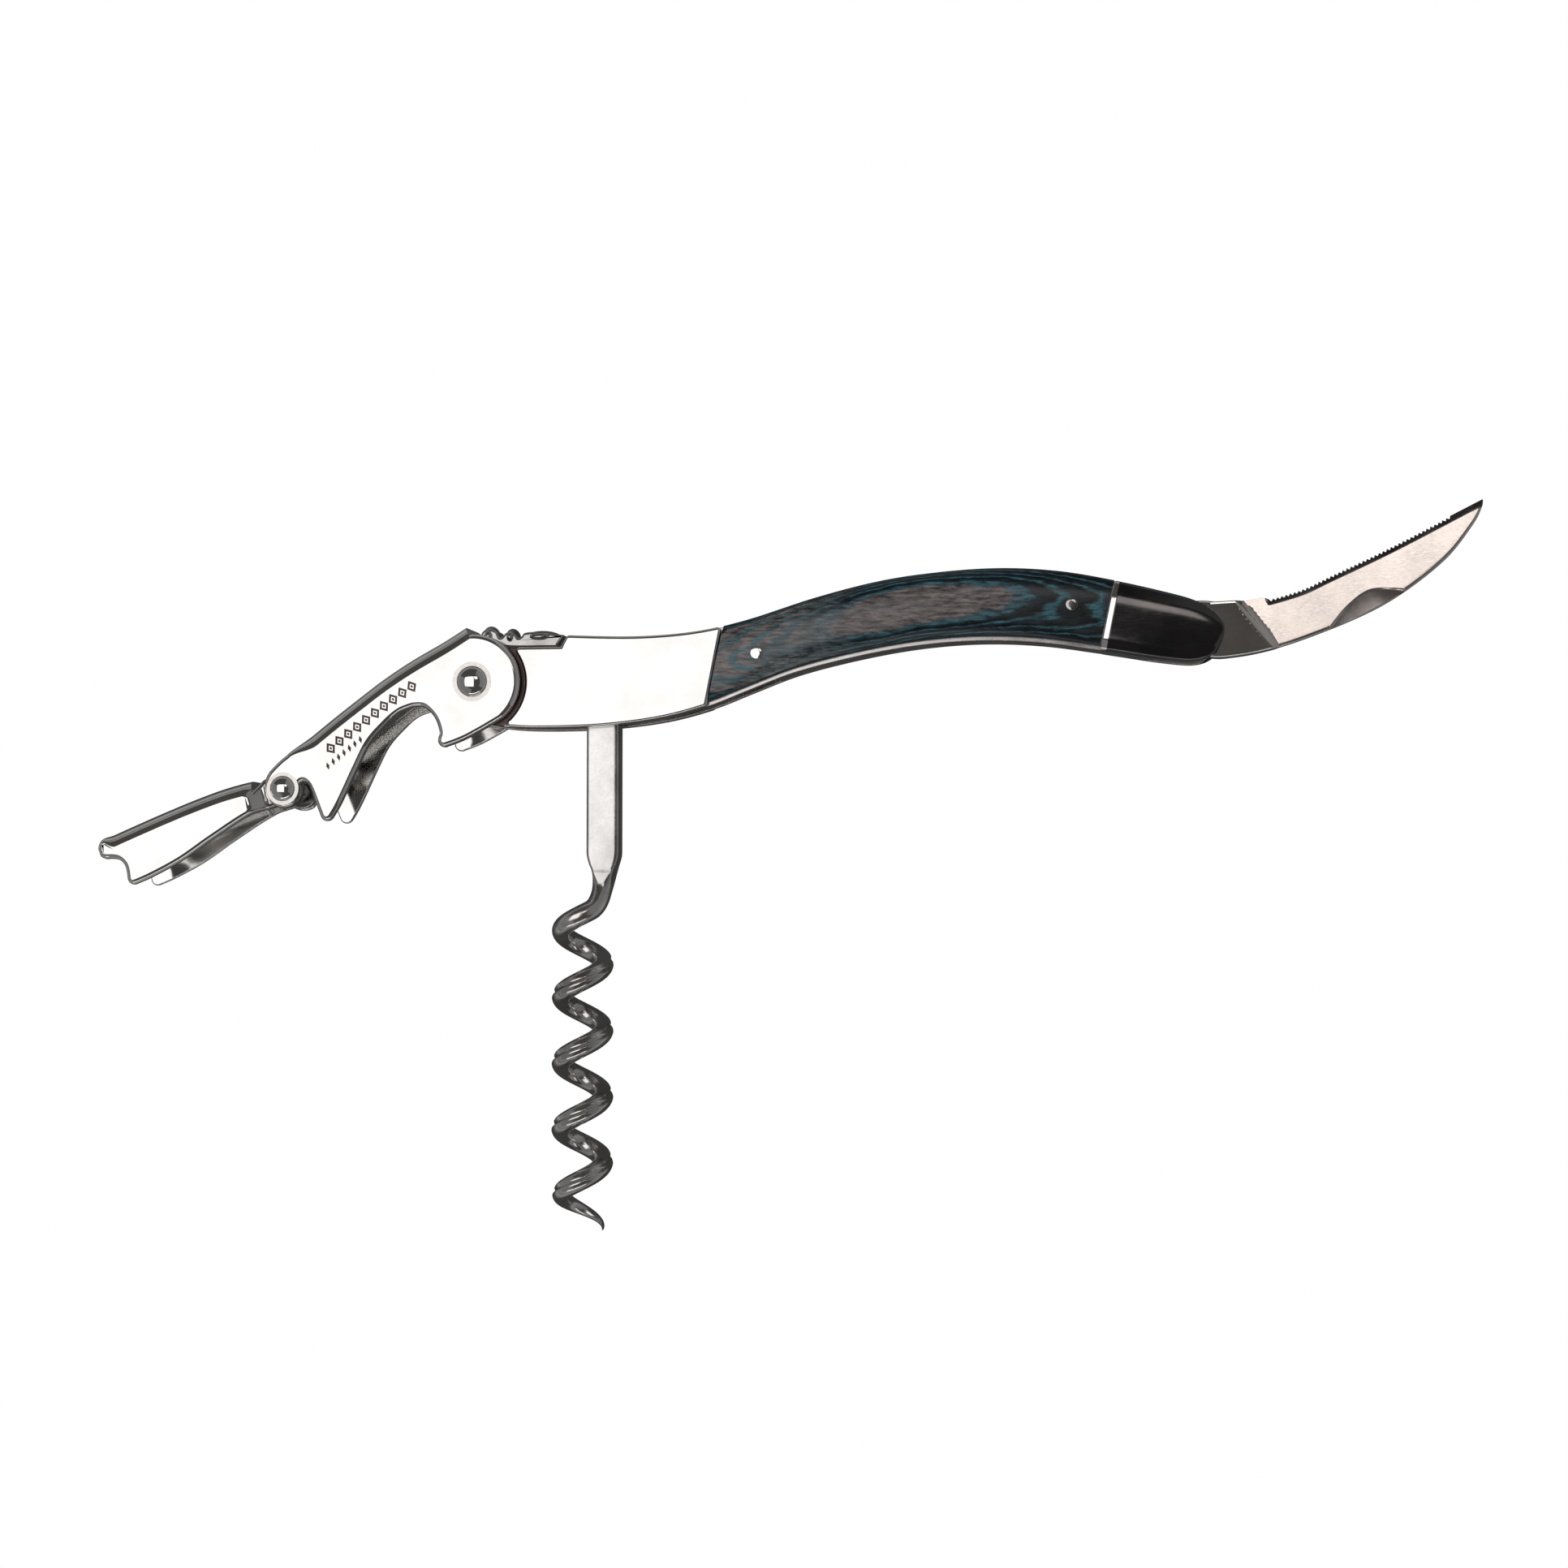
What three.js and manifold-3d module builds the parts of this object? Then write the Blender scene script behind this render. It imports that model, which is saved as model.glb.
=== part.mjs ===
// Waiter's corkscrew with a two-stage lever, a hinged worm and a folding foil blade, shown opened.
// Millimetres. The tool lies on its side: X runs along the handle, Y is up the handle's height and
// Z is its thickness. Every outline below is drawn about the lever pivot, with z = 0 on the mid-plane,
// and the whole model is then moved so that its origin is the middle of its underside.
import * as THREE from "three";
import { mergeVertices } from "three/addons/utils/BufferGeometryUtils.js";
import Module from "manifold-3d";

const wasm = await Module();
wasm.setup();

// ---- pivots and pins, as [x, y] about the lever pivot -------------------------------------------
const LEVER_PIVOT = [0, 0];
const ARM_PIVOT = [-28.8, -15.7];
const WORM_PIVOT = [19.0, -3.9];
const BLADE_PIVOT = [104.7, 7.2];
const FRONT_SCALE_PIN = [42.4, 3.8];
const REAR_SCALE_PIN = [88.5, 10.3];
const SPRING_PIN = [70.0, 6.5];

// ---- the layers from the mid-plane outwards ------------------------------------------------------
const LINER_INNER = 2.0;
const LINER_OUTER = 3.3;
const BOLSTER_INNER = 3.35;
const BOLSTER_OUTER = 4.6;
const BOLSTER_RELIEF = 4.3;
const PLATE_INNER = 4.9;
const PLATE_OUTER = 6.2;
const SPRING_HALF = 1.9;
const DOME_HEIGHT = 1.3;

// ---- fits ------------------------------------------------------------------------------------------
const PIN_GAP = 0.12;
const HEAD_RADIUS = 5.8;
const LEVER_HEAD_RADIUS = 7.1;
const RELIEF_RADIUS = 7.6;
const WEB = 1.2;

// ---- radii of the pins -----------------------------------------------------------------------------
const LEVER_RIVET_RADIUS = 1.8;
const LEVER_DOME_RADIUS = 2.3;
const ARM_RIVET_RADIUS = 1.2;
const ARM_DOME_RADIUS = 1.9;
const WORM_PIN_RADIUS = 1.4;
const BLADE_PIN_RADIUS = 1.3;
const SCALE_PIN_RADIUS = 0.9;
const SPRING_PIN_RADIUS = 0.7;

// ---- the worm --------------------------------------------------------------------------------------
const WIRE_RADIUS = 1.5;
const HELIX_RADIUS = 3.1;
const HELIX_AXIS_X = 15.6;
const HELIX_TOP_Y = -32.3;
const HELIX_PITCH = 9.76;
const HELIX_TURNS = 5;
const SHANK_HALF_THICKNESS = 1.85;

// ---- the blade -------------------------------------------------------------------------------------
const TANG_HALF_THICKNESS = 1.65;
const BLADE_HALF_THICKNESS = 0.9;

const vec = ([x, y]) => new THREE.Vector2(x, y);
const mix = (a, b, t) => a + (b - a) * t;

// ---- solids: three.js shapes them, manifold joins and cuts them ------------------------------------
function toSolid(geometry) {
  const bare = geometry.clone().deleteAttribute("normal").deleteAttribute("uv");
  const merged = mergeVertices(bare, 1e-4);
  const mesh = new wasm.Mesh({
    numProp: 3,
    vertProperties: merged.attributes.position.array,
    triVerts: new Uint32Array(merged.index.array),
  });
  return new wasm.Manifold(mesh);
}

function toGeometry(solid) {
  const mesh = solid.getMesh();
  const geometry = new THREE.BufferGeometry();
  geometry.setAttribute("position", new THREE.BufferAttribute(mesh.vertProperties, 3));
  geometry.setIndex(new THREE.BufferAttribute(mesh.triVerts, 1));
  geometry.computeVertexNormals();
  return geometry;
}

function join(...geometries) {
  const solids = geometries.map(toSolid);
  return toGeometry(solids.reduce((whole, extra) => whole.add(extra)));
}

function cut(geometry, ...tools) {
  const solids = tools.map(toSolid);
  return toGeometry(solids.reduce((rest, tool) => rest.subtract(tool), toSolid(geometry)));
}

// A closed outline: a start point, then any number of strokes.
function outline(start, ...strokes) {
  const shape = new THREE.Shape();
  shape.moveTo(...start);
  strokes.forEach((stroke) => stroke(shape));
  return shape;
}
const line = (...points) => (shape) => points.forEach((p) => shape.lineTo(...p));
const curve = (...points) => (shape) => shape.splineThru(points.map(vec));
const arc = ([x, y], radius, from, to, count = 10) => (shape) => {
  for (let i = 0; i <= count; i++) {
    const angle = THREE.MathUtils.degToRad(mix(from, to, i / count));
    shape.lineTo(x + radius * Math.cos(angle), y + radius * Math.sin(angle));
  }
};

// A plate of an outline between two heights.
function plate(shape, low, high, curveSegments = 2) {
  const geometry = new THREE.ExtrudeGeometry(shape, {
    depth: high - low,
    bevelEnabled: false,
    curveSegments,
  });
  return geometry.translate(0, 0, low);
}

// A round bar along Z.
function bar([x, y], radius, low, high, sides = 16) {
  const geometry = new THREE.CylinderGeometry(radius, radius, high - low, sides);
  return geometry.rotateX(Math.PI / 2).translate(x, y, (low + high) / 2);
}

// A rivet along Z with a domed head on each end.
function rivet([x, y], shaftRadius, domeRadius, headBase, domeHeight) {
  const profile = [new THREE.Vector2(0, -headBase - domeHeight)];
  const steps = 4;
  for (let i = 1; i <= steps; i++) {
    const turn = (i / steps) * (Math.PI / 2);
    profile.push(new THREE.Vector2(domeRadius * Math.sin(turn), -headBase - domeHeight * Math.cos(turn)));
  }
  profile.push(new THREE.Vector2(shaftRadius, -headBase));
  profile.push(new THREE.Vector2(shaftRadius, headBase));
  for (let i = steps; i >= 1; i--) {
    const turn = (i / steps) * (Math.PI / 2);
    profile.push(new THREE.Vector2(domeRadius * Math.sin(turn), headBase + domeHeight * Math.cos(turn)));
  }
  profile.push(new THREE.Vector2(0, headBase + domeHeight));
  return new THREE.LatheGeometry(profile, 20).rotateX(Math.PI / 2).translate(x, y, 0);
}

const mirrored = (geometry) => {
  const copy = geometry.clone().scale(1, 1, -1);
  const order = copy.index.array;
  for (let i = 0; i < order.length; i += 3) [order[i], order[i + 1]] = [order[i + 1], order[i]];
  copy.computeVertexNormals();
  return copy;
};

// ---- the handle's two long edges -------------------------------------------------------------------
const TOP_EDGE = new THREE.SplineCurve(
  [
    [13.6, 6.9],
    [24, 6.6],
    [33, 7.2],
    [41, 8.9],
    [51, 12.0],
    [61, 14.4],
    [70.7, 15.6],
    [79, 15.9],
    [87, 15.3],
    [95, 13.8],
    [102.4, 12.0],
    [106, 10.9],
    [108.4, 9.6],
    [109.8, 8.2],
    [110.5, 6.8],
  ].map(vec),
);
const BOTTOM_EDGE = new THREE.SplineCurve(
  [
    [0, -5.9],
    [5, -6.7],
    [12, -6.9],
    [20, -6.6],
    [28, -5.6],
    [35, -3.8],
    [41, -1.5],
    [48, 1.1],
    [57, 3.3],
    [66, 4.8],
    [75, 5.4],
    [84, 5.0],
    [93, 3.7],
    [101, 2.4],
    [106, 2.0],
    [108.7, 3.0],
    [109.9, 5.0],
    [110.5, 6.8],
  ].map(vec),
);

// The height of one of those edges at a place along the handle.
function heightAt(edge, x) {
  let low = 0;
  let high = 1;
  for (let i = 0; i < 30; i++) {
    const middle = (low + high) / 2;
    if (edge.getPoint(middle).x < x) low = middle;
    else high = middle;
  }
  return edge.getPoint(low).y;
}
const topAt = (x) => heightAt(TOP_EDGE, x);
const bottomAt = (x) => heightAt(BOTTOM_EDGE, x);

function along(from, to, count, height) {
  return Array.from({ length: count + 1 }, (_, i) => {
    const x = mix(from, to, i / count);
    return [x, height(x)];
  });
}

// The two joints of the handle's cladding, as [x at the bottom, x at the top].
const FRONT_JOINT = [35.0, 37.3];
const REAR_JOINT = [92.6, 94.7];
const JOINT_GAP = 0.08;
const NOSE_X = 110.4;

const RECESS_FLOOR = 5.2;
const RECESS_END = 13.0;
// Where the recess floor runs into the round end of the handle.
const RECESS_ANGLE = 180 - THREE.MathUtils.radToDeg(Math.asin(RECESS_FLOOR / HEAD_RADIUS));

// ---- liners: the two steel side plates that everything is built on ----------------------------------
function linerShape() {
  const rear = 109.2;
  return outline(
    [0, -HEAD_RADIUS],
    line(...along(0.6, 107, 26, bottomAt)),
    curve([108.6, 3.6], [rear, 6.4], [108.2, 9.2]),
    line(...along(107, RECESS_END + 0.9, 22, (x) => topAt(x) - 0.1)),
    line([RECESS_END, RECESS_FLOOR]),
    arc(LEVER_PIVOT, HEAD_RADIUS, RECESS_ANGLE, 270),
  );
}

function liner() {
  return cut(
    plate(linerShape(), LINER_INNER, LINER_OUTER),
    bar(LEVER_PIVOT, LEVER_RIVET_RADIUS + PIN_GAP, 0, 8),
    bar(WORM_PIVOT, WORM_PIN_RADIUS + PIN_GAP, 0, 8),
    bar(BLADE_PIVOT, BLADE_PIN_RADIUS + PIN_GAP, 0, 8),
    bar(FRONT_SCALE_PIN, SCALE_PIN_RADIUS + PIN_GAP, 0, 8),
    bar(REAR_SCALE_PIN, SCALE_PIN_RADIUS + PIN_GAP, 0, 8),
    bar(SPRING_PIN, SPRING_PIN_RADIUS + PIN_GAP, 0, 8),
  );
}

// ---- front bolsters: flat steel cheeks, relieved where the lever's head turns over them --------------
function frontBolster() {
  const [low, high] = FRONT_JOINT;
  const cheek = outline(
    [0, -HEAD_RADIUS],
    line(...along(0.6, low - JOINT_GAP, 14, bottomAt)),
    line(...along(high - JOINT_GAP, RECESS_END + 0.9, 8, topAt)),
    line([RECESS_END, RECESS_FLOOR]),
    arc(LEVER_PIVOT, HEAD_RADIUS, RECESS_ANGLE, 270),
  );
  return cut(
    plate(cheek, BOLSTER_INNER, BOLSTER_OUTER),
    bar(LEVER_PIVOT, RELIEF_RADIUS, BOLSTER_RELIEF, 8, 40),
    bar(LEVER_PIVOT, LEVER_RIVET_RADIUS + PIN_GAP, 0, 8),
    bar(WORM_PIVOT, WORM_PIN_RADIUS + PIN_GAP, 0, 8),
  );
}

// A slab with a flat back and a crowned face, on a grid of stations along and across the handle.
function crownedSlab(place, alongCount, acrossCount) {
  const positions = [];
  const index = [];
  const rows = acrossCount + 1;
  for (const face of [0, 1])
    for (let i = 0; i <= alongCount; i++)
      for (let j = 0; j < rows; j++) {
        const [x, y, z] = place(i / alongCount, j / acrossCount);
        positions.push(x, y, face ? z : BOLSTER_INNER);
      }
  const layer = (alongCount + 1) * rows;
  const quad = (a, b, c, d) => index.push(a, b, c, a, c, d);
  for (let i = 0; i < alongCount; i++)
    for (let j = 0; j < acrossCount; j++) {
      const a = i * rows + j;
      quad(a, a + 1, a + rows + 1, a + rows);
      quad(layer + a, layer + a + rows, layer + a + rows + 1, layer + a + 1);
    }
  for (let i = 0; i < alongCount; i++) {
    const low = i * rows;
    const high = low + acrossCount;
    quad(low, low + rows, layer + low + rows, layer + low);
    quad(high, layer + high, layer + high + rows, high + rows);
  }
  for (let j = 0; j < acrossCount; j++) {
    const near = j;
    const far = alongCount * rows + j;
    quad(near, layer + near, layer + near + 1, near + 1);
    quad(far, far + 1, layer + far + 1, layer + far);
  }
  const geometry = new THREE.BufferGeometry();
  geometry.setAttribute("position", new THREE.Float32BufferAttribute(positions, 3));
  geometry.setIndex(index);
  return toGeometry(toSolid(geometry));
}

// ---- wooden scales ----------------------------------------------------------------------------------
const WOOD_EDGE = 4.25;
const WOOD_SWELL = 1.4;
const STEEL_REVEAL = 0.55;

// How far the wood's face stands from the mid-plane: s runs along the scale and t up it.
function woodFace(s, t) {
  const swell = 0.35 + WOOD_SWELL * Math.sin(Math.PI * Math.min(1, 0.04 + s * 0.9)) ** 0.8;
  return WOOD_EDGE + swell * (1 - Math.abs(2 * t - 1) ** 3);
}

function woodScale() {
  const slab = crownedSlab(
    (s, t) => {
      const x = mix(
        mix(FRONT_JOINT[0], FRONT_JOINT[1], t) + JOINT_GAP,
        mix(REAR_JOINT[0], REAR_JOINT[1], t) - JOINT_GAP,
        s,
      );
      return [x, mix(bottomAt(x) + STEEL_REVEAL, topAt(x), t), woodFace(s, t)];
    },
    16,
    6,
  );
  return cut(
    slab,
    bar(FRONT_SCALE_PIN, SCALE_PIN_RADIUS + PIN_GAP, 0, 8),
    bar(REAR_SCALE_PIN, SCALE_PIN_RADIUS + PIN_GAP, 0, 8),
  );
}

// ---- rear bolsters: crowned steel caps that run out to the nose ------------------------------------
function rearBolster() {
  const slab = crownedSlab(
    (s, t) => {
      const start = mix(REAR_JOINT[0], REAR_JOINT[1], t) + JOINT_GAP;
      const x = mix(start, NOSE_X - 0.05, Math.sin((s * Math.PI) / 2));
      const low = bottomAt(x);
      const high = topAt(x);
      const crown = 0.3 + 0.75 * Math.cos((s * Math.PI) / 2);
      return [x, mix(low, high, t), 3.95 + crown * (1 - Math.abs(2 * t - 1) ** 2.5)];
    },
    8,
    6,
  );
  return cut(slab, bar(BLADE_PIVOT, BLADE_PIN_RADIUS + PIN_GAP, 0, 4.1));
}

// ---- springs and spacer between the liners ----------------------------------------------------------
// The back spring closes the underside and presses on the blade's tang.
function backSpring() {
  const start = 45;
  const end = 99.4;
  const depth = 1.9;
  const body = outline(
    [start, bottomAt(start)],
    line(...along(start, end, 16, bottomAt)),
    line(...along(end, start, 16, (x) => bottomAt(x) + depth)),
  );
  return cut(
    plate(body, -SPRING_HALF, SPRING_HALF),
    bar(SPRING_PIN, SPRING_PIN_RADIUS + PIN_GAP, -8, 8),
  );
}

// The top spring runs from the front pin to a free tongue beside the lever's web.
function topSpring() {
  const end = 50;
  const depth = 2.4;
  const body = outline(
    [0.9, 3.9],
    line([RECESS_END + 1.4, 3.9]),
    curve([22, 3.6], [32, 4.0], [37.8, 2.2], [42.4, 1.6], [47, 3.6]),
    line([end, topAt(end) - depth], [end, topAt(end)]),
    line(...along(end, RECESS_END + 0.9, 14, topAt)),
    line([RECESS_END, RECESS_FLOOR], [0.9, RECESS_FLOOR]),
  );
  return cut(
    plate(body, -SPRING_HALF, SPRING_HALF),
    bar(FRONT_SCALE_PIN, SCALE_PIN_RADIUS + PIN_GAP, -8, 8),
  );
}

// A lobed thumb rest on the tongue's end.
function springOrnament() {
  const base = RECESS_FLOOR + 0.05;
  return plate(
    outline(
      [0.3, base],
      line([11.9, base]),
      curve([12.3, 5.9], [12.9, 6.5], [13.2, 7.3]),
      curve([10.5, 7.9], [8.2, 8.1], [6.9, 7.9]),
      line([6.2, 7.4]),
      curve([5.7, 8.2], [4.6, 8.4], [3.8, 8.0]),
      line([3.1, 7.5]),
      curve([2.5, 8.6], [1.2, 8.9], [0.3, 7.9]),
    ),
    -2.6,
    2.6,
  );
}

// The front spacer keeps the liners apart round the lever rivet.
function frontSpacer() {
  const radius = HEAD_RADIUS - 0.5;
  const body = outline(
    [0, -radius],
    line([8.5, -radius]),
    curve([11.5, -4.6], [13.2, -2.0], [13.6, 1.0]),
    line([13.6, 3.0]),
    arc(LEVER_PIVOT, radius, 145, 270),
  );
  return cut(
    plate(body, -SPRING_HALF, SPRING_HALF),
    bar(LEVER_PIVOT, LEVER_RIVET_RADIUS + PIN_GAP, -8, 8),
  );
}

// ---- the worm ---------------------------------------------------------------------------------------
// The wire leaves the shank straight down, joins the helix and tapers to a point over the last turn.
class WormLine extends THREE.Curve {
  getPoint(t, target = new THREE.Vector3()) {
    const lead = 0.06;
    const turn = t < lead ? 0 : ((t - lead) / (1 - lead)) * HELIX_TURNS * 2 * Math.PI;
    const ease = Math.min(1, turn / (0.35 * Math.PI));
    const x = HELIX_AXIS_X + HELIX_RADIUS * Math.cos(turn);
    const y = HELIX_TOP_Y - (HELIX_PITCH * turn) / (2 * Math.PI);
    const z = HELIX_RADIUS * Math.sin(turn) * mix(0.85, 1, ease);
    return target.set(x, t < lead ? mix(HELIX_TOP_Y + 4.6, HELIX_TOP_Y, t / lead) : y, z);
  }
}

function wormWire() {
  const steps = 72;
  const sides = 8;
  const taperFrom = 0.84;
  const path = new WormLine();
  const rings = [];
  for (let i = 0; i <= steps; i++) {
    const t = i / steps;
    const here = path.getPoint(t);
    const ahead = path.getPoint(Math.min(1, t + 0.004)).sub(path.getPoint(Math.max(0, t - 0.004))).normalize();
    const out = new THREE.Vector3(here.x - HELIX_AXIS_X, 0, here.z).normalize();
    const side = new THREE.Vector3().crossVectors(ahead, out).normalize();
    const outward = new THREE.Vector3().crossVectors(side, ahead).normalize();
    const taper = t < taperFrom ? 1 : mix(1, 0.12, ((t - taperFrom) / (1 - taperFrom)) ** 1.6);
    rings.push({ here, side, outward, radius: WIRE_RADIUS * taper });
  }
  const positions = [];
  const index = [];
  rings.forEach(({ here, side, outward, radius }) => {
    for (let k = 0; k < sides; k++) {
      const a = (k / sides) * 2 * Math.PI;
      const p = here
        .clone()
        .addScaledVector(side, radius * Math.sin(a))
        .addScaledVector(outward, radius * Math.cos(a));
      positions.push(p.x, p.y, p.z);
    }
  });
  for (let i = 0; i < steps; i++)
    for (let k = 0; k < sides; k++) {
      const a = i * sides + k;
      const b = i * sides + ((k + 1) % sides);
      index.push(a, b, a + sides, b, b + sides, a + sides);
    }
  for (const ring of [0, steps]) {
    const first = ring * sides;
    for (let k = 1; k < sides - 1; k++)
      index.push(...(ring ? [first, first + k, first + k + 1] : [first, first + k + 1, first + k]));
  }
  const geometry = new THREE.BufferGeometry();
  geometry.setAttribute("position", new THREE.Float32BufferAttribute(positions, 3));
  geometry.setIndex(index);
  return geometry;
}

function worm() {
  const headRadius = 2.75;
  const [x, y] = WORM_PIVOT;
  const shank = outline(
    [16.35, y],
    line([16.35, -25.3]),
    curve([17.0, -27.2], [17.3, -29.6]),
    line([20.1, -29.6]),
    curve([20.5, -27.0], [21.3, -25.0]),
    line([21.3, y]),
    arc([18.83, y], 2.475, 0, 180),
  );
  return cut(
    join(
      plate(shank, -SHANK_HALF_THICKNESS, SHANK_HALF_THICKNESS),
      bar([x, y], headRadius, -SHANK_HALF_THICKNESS, SHANK_HALF_THICKNESS, 24),
      wormWire(),
    ),
    bar(WORM_PIVOT, WORM_PIN_RADIUS + PIN_GAP, -8, 8),
  );
}

// ---- the foil blade ----------------------------------------------------------------------------------
const BLADE_TIP = [147.4, 25.3];
const SERRATION_START = [116.8, 11.2];
const SERRATION_END = [142.7, 22.9];
const BLADE_EDGE = [
  [121.5, 12.6],
  [125.6, 14.5],
  [133.9, 18.4],
];
const BLADE_SPINE = [
  [147.2, 24.0],
  [145.9, 21.5],
  [142.1, 16.7],
  [135.9, 11.8],
  [129.7, 8.4],
  [121.0, 5.0],
  [115.2, 3.4],
  [110.4, 2.7],
];

function blade() {
  const tangRadius = 4.0;
  const tang = outline(
    [112.2, 11.0],
    line([109.3, 10.8]),
    curve([107.6, 11.0], [106.2, 11.0]),
    arc(BLADE_PIVOT, tangRadius, 70, 290),
    curve([107.4, 3.0], [109.4, 2.8]),
    line([112, 3.0], [116.8, 4.2]),
  );
  const sheet = outline(
    [109.4, 10.8],
    line([109.4, 2.8]),
    line([110.4, 2.7]),
    curve(...BLADE_SPINE.slice().reverse().slice(1)),
    line(BLADE_TIP, SERRATION_END),
    curve(...BLADE_EDGE.slice().reverse(), SERRATION_START),
    line([116.0, 11.5], [113.4, 11.05]),
  );
  return cut(
    join(
      plate(tang, -TANG_HALF_THICKNESS, TANG_HALF_THICKNESS),
      plate(sheet, -BLADE_HALF_THICKNESS, BLADE_HALF_THICKNESS),
    ),
    bar(BLADE_PIVOT, BLADE_PIN_RADIUS + PIN_GAP, -8, 8),
  );
}

// ---- the lever's first stage: a folded U-channel with its web along the spine -------------------------
const LEVER_CORNER = [-1.4, 8.2];
const LEVER_SPINE = [
  [-4.8, 6.1],
  [-9.6, 3.4],
  [-13.8, 0.7],
  [-18.0, -2.4],
  [-22.8, -6.1],
  [-28.8, -11.0],
  [-31.0, -13.1],
];

// The points of a line moved sideways by a distance, to the left of its direction when positive.
function shifted(points, distance) {
  return points.map(([x, y], i) => {
    const before = points[Math.max(0, i - 1)];
    const after = points[Math.min(points.length - 1, i + 1)];
    const run = new THREE.Vector2(after[0] - before[0], after[1] - before[1]).normalize();
    return [x - run.y * distance, y + run.x * distance];
  });
}

function lever() {
  const lugRadius = 2.9;
  const side = outline(
    LEVER_CORNER,
    curve(...LEVER_SPINE),
    curve([-31.7, -14.6], [-31.5, -16.6]),
    arc(ARM_PIVOT, lugRadius, 200, 310, 7),
    curve([-26.7, -16.4], [-26.6, -15.4], [-25.9, -14.7], [-25.1, -15.1], [-24.4, -16.5]),
    line([-22.5, -21.4], [-22.1, -21.4]),
    curve([-20.1, -18.3], [-17.3, -12.4], [-15.5, -8.9], [-13.2, -6.3], [-11.1, -4.5], [-9.0, -3.7]),
    curve([-7.3, -3.8], [-5.8, -5.3], [-5.05, -7.4], [-5.3, -8.5], [-5.4, -10.1]),
    curve([-1.8, -8.9], [1.2, -7.4], [4.4, -5.57]),
    arc(LEVER_PIVOT, LEVER_HEAD_RADIUS, -51.7, 95, 12),
  );
  const inner = shifted([LEVER_CORNER, ...LEVER_SPINE.slice(0, 5), [-26.4, -9.0]], WEB);
  const channel = outline(
    [-0.2, 7.2],
    line(...inner.slice(1)),
    line([-27.9, -7.2], [-38, -9], [-38, -30], [-10, -30], [12, -12], [12, 12], [0.4, 12]),
  );
  return cut(
    plate(side, -PLATE_OUTER, PLATE_OUTER),
    plate(channel, -PLATE_INNER, PLATE_INNER),
    bar(LEVER_PIVOT, LEVER_RIVET_RADIUS + PIN_GAP, -8, 8),
    bar(ARM_PIVOT, ARM_RIVET_RADIUS + PIN_GAP, -8, 8),
  );
}

// ---- the lever's second stage: a shorter channel that narrows to lugs inside the first ---------------
const ARM_SPINE = [
  [-38.3, -15.6],
  [-42.6, -17.1],
  [-46.9, -18.8],
  [-51.2, -20.6],
  [-55.6, -22.5],
];

function secondArm() {
  const lugRadius = 2.7;
  const lugOuter = 4.7;
  const lugInner = 3.5;
  const wide = outline(
    [-33.9, -14.7],
    curve(...ARM_SPINE),
    curve([-57.2, -23.5], [-57.5, -25.0], [-56.3, -26.0]),
    curve([-54.1, -26.1], [-53.1, -27.2], [-52.9, -28.6], [-52.6, -29.9]),
    line([-52.0, -30.1]),
    curve([-48.9, -28.8], [-44.4, -26.4], [-39.7, -23.2], [-34.0, -19.6]),
    curve([-32.9, -18.4], [-32.7, -16.6], [-33.9, -14.7]),
  );
  const inner = shifted([[-34.4, -14.5], ...ARM_SPINE], WEB);
  const channel = outline(
    [-30, inner[0][1] + 1.5],
    line(...inner),
    line([-57.6, -21.9], [-62, -26], [-62, -34], [-30, -34]),
  );
  const narrow = outline(
    [-36.2, -15.6],
    line([-33.9, -14.7]),
    curve([-32.4, -14.0], [-30.4, -13.3]),
    arc(ARM_PIVOT, lugRadius, 122, -58),
    curve([-29.0, -18.4], [-31.5, -19.1], [-33.6, -19.5]),
    line([-36.2, -20.9]),
  );
  return cut(
    join(
      cut(plate(wide, -PLATE_OUTER, PLATE_OUTER), plate(channel, -PLATE_INNER, PLATE_INNER)),
      cut(
        plate(narrow, -lugOuter - 0.3, lugOuter + 0.3),
        plate(narrow, -lugInner, lugInner),
        bar(ARM_PIVOT, 4.0, lugOuter, 8, 24),
        bar(ARM_PIVOT, 4.0, -8, -lugOuter, 24),
      ),
    ),
    bar(ARM_PIVOT, ARM_RIVET_RADIUS + PIN_GAP, -8, 8),
  );
}

// A torsion spring round the arm's rivet, with one leg towards the first stage's claw.
function armSpring() {
  const inside = ARM_RIVET_RADIUS + PIN_GAP;
  const outside = 1.75;
  const half = 2.6;
  const [x, y] = ARM_PIVOT;
  const ring = [
    [inside, -half],
    [outside, -half],
    [outside, half],
    [inside, half],
    [inside, -half],
  ].map(vec);
  const coil = new THREE.LatheGeometry(ring, 24).rotateX(Math.PI / 2).translate(x, y, 0);
  const leg = outline([-28.1, -16.7], line([-26.2, -16.2], [-26.1, -16.8], [-28.0, -17.3]));
  return join(coil, plate(leg, half - 0.6, half));
}

// ---- materials ----------------------------------------------------------------------------------------
const metal = (color, roughness) =>
  new THREE.MeshStandardMaterial({ color, roughness, metalness: 1 });
const polishedSteel = () => metal(0xd9d8d6, 0.12);
const brushedSteel = () => metal(0xc4c0bc, 0.32);
const darkChrome = () => metal(0x8d8a88, 0.12);
const wood = () => new THREE.MeshStandardMaterial({ color: 0x16313b, roughness: 0.35, metalness: 0 });

const model = new THREE.Group();

function add(name, geometry, material) {
  const mesh = new THREE.Mesh(geometry, material);
  mesh.name = name;
  model.add(mesh);
}

function addPair(name, geometry, material) {
  add(`${name}_left`, geometry, material());
  add(`${name}_right`, mirrored(geometry), material());
}

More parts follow.
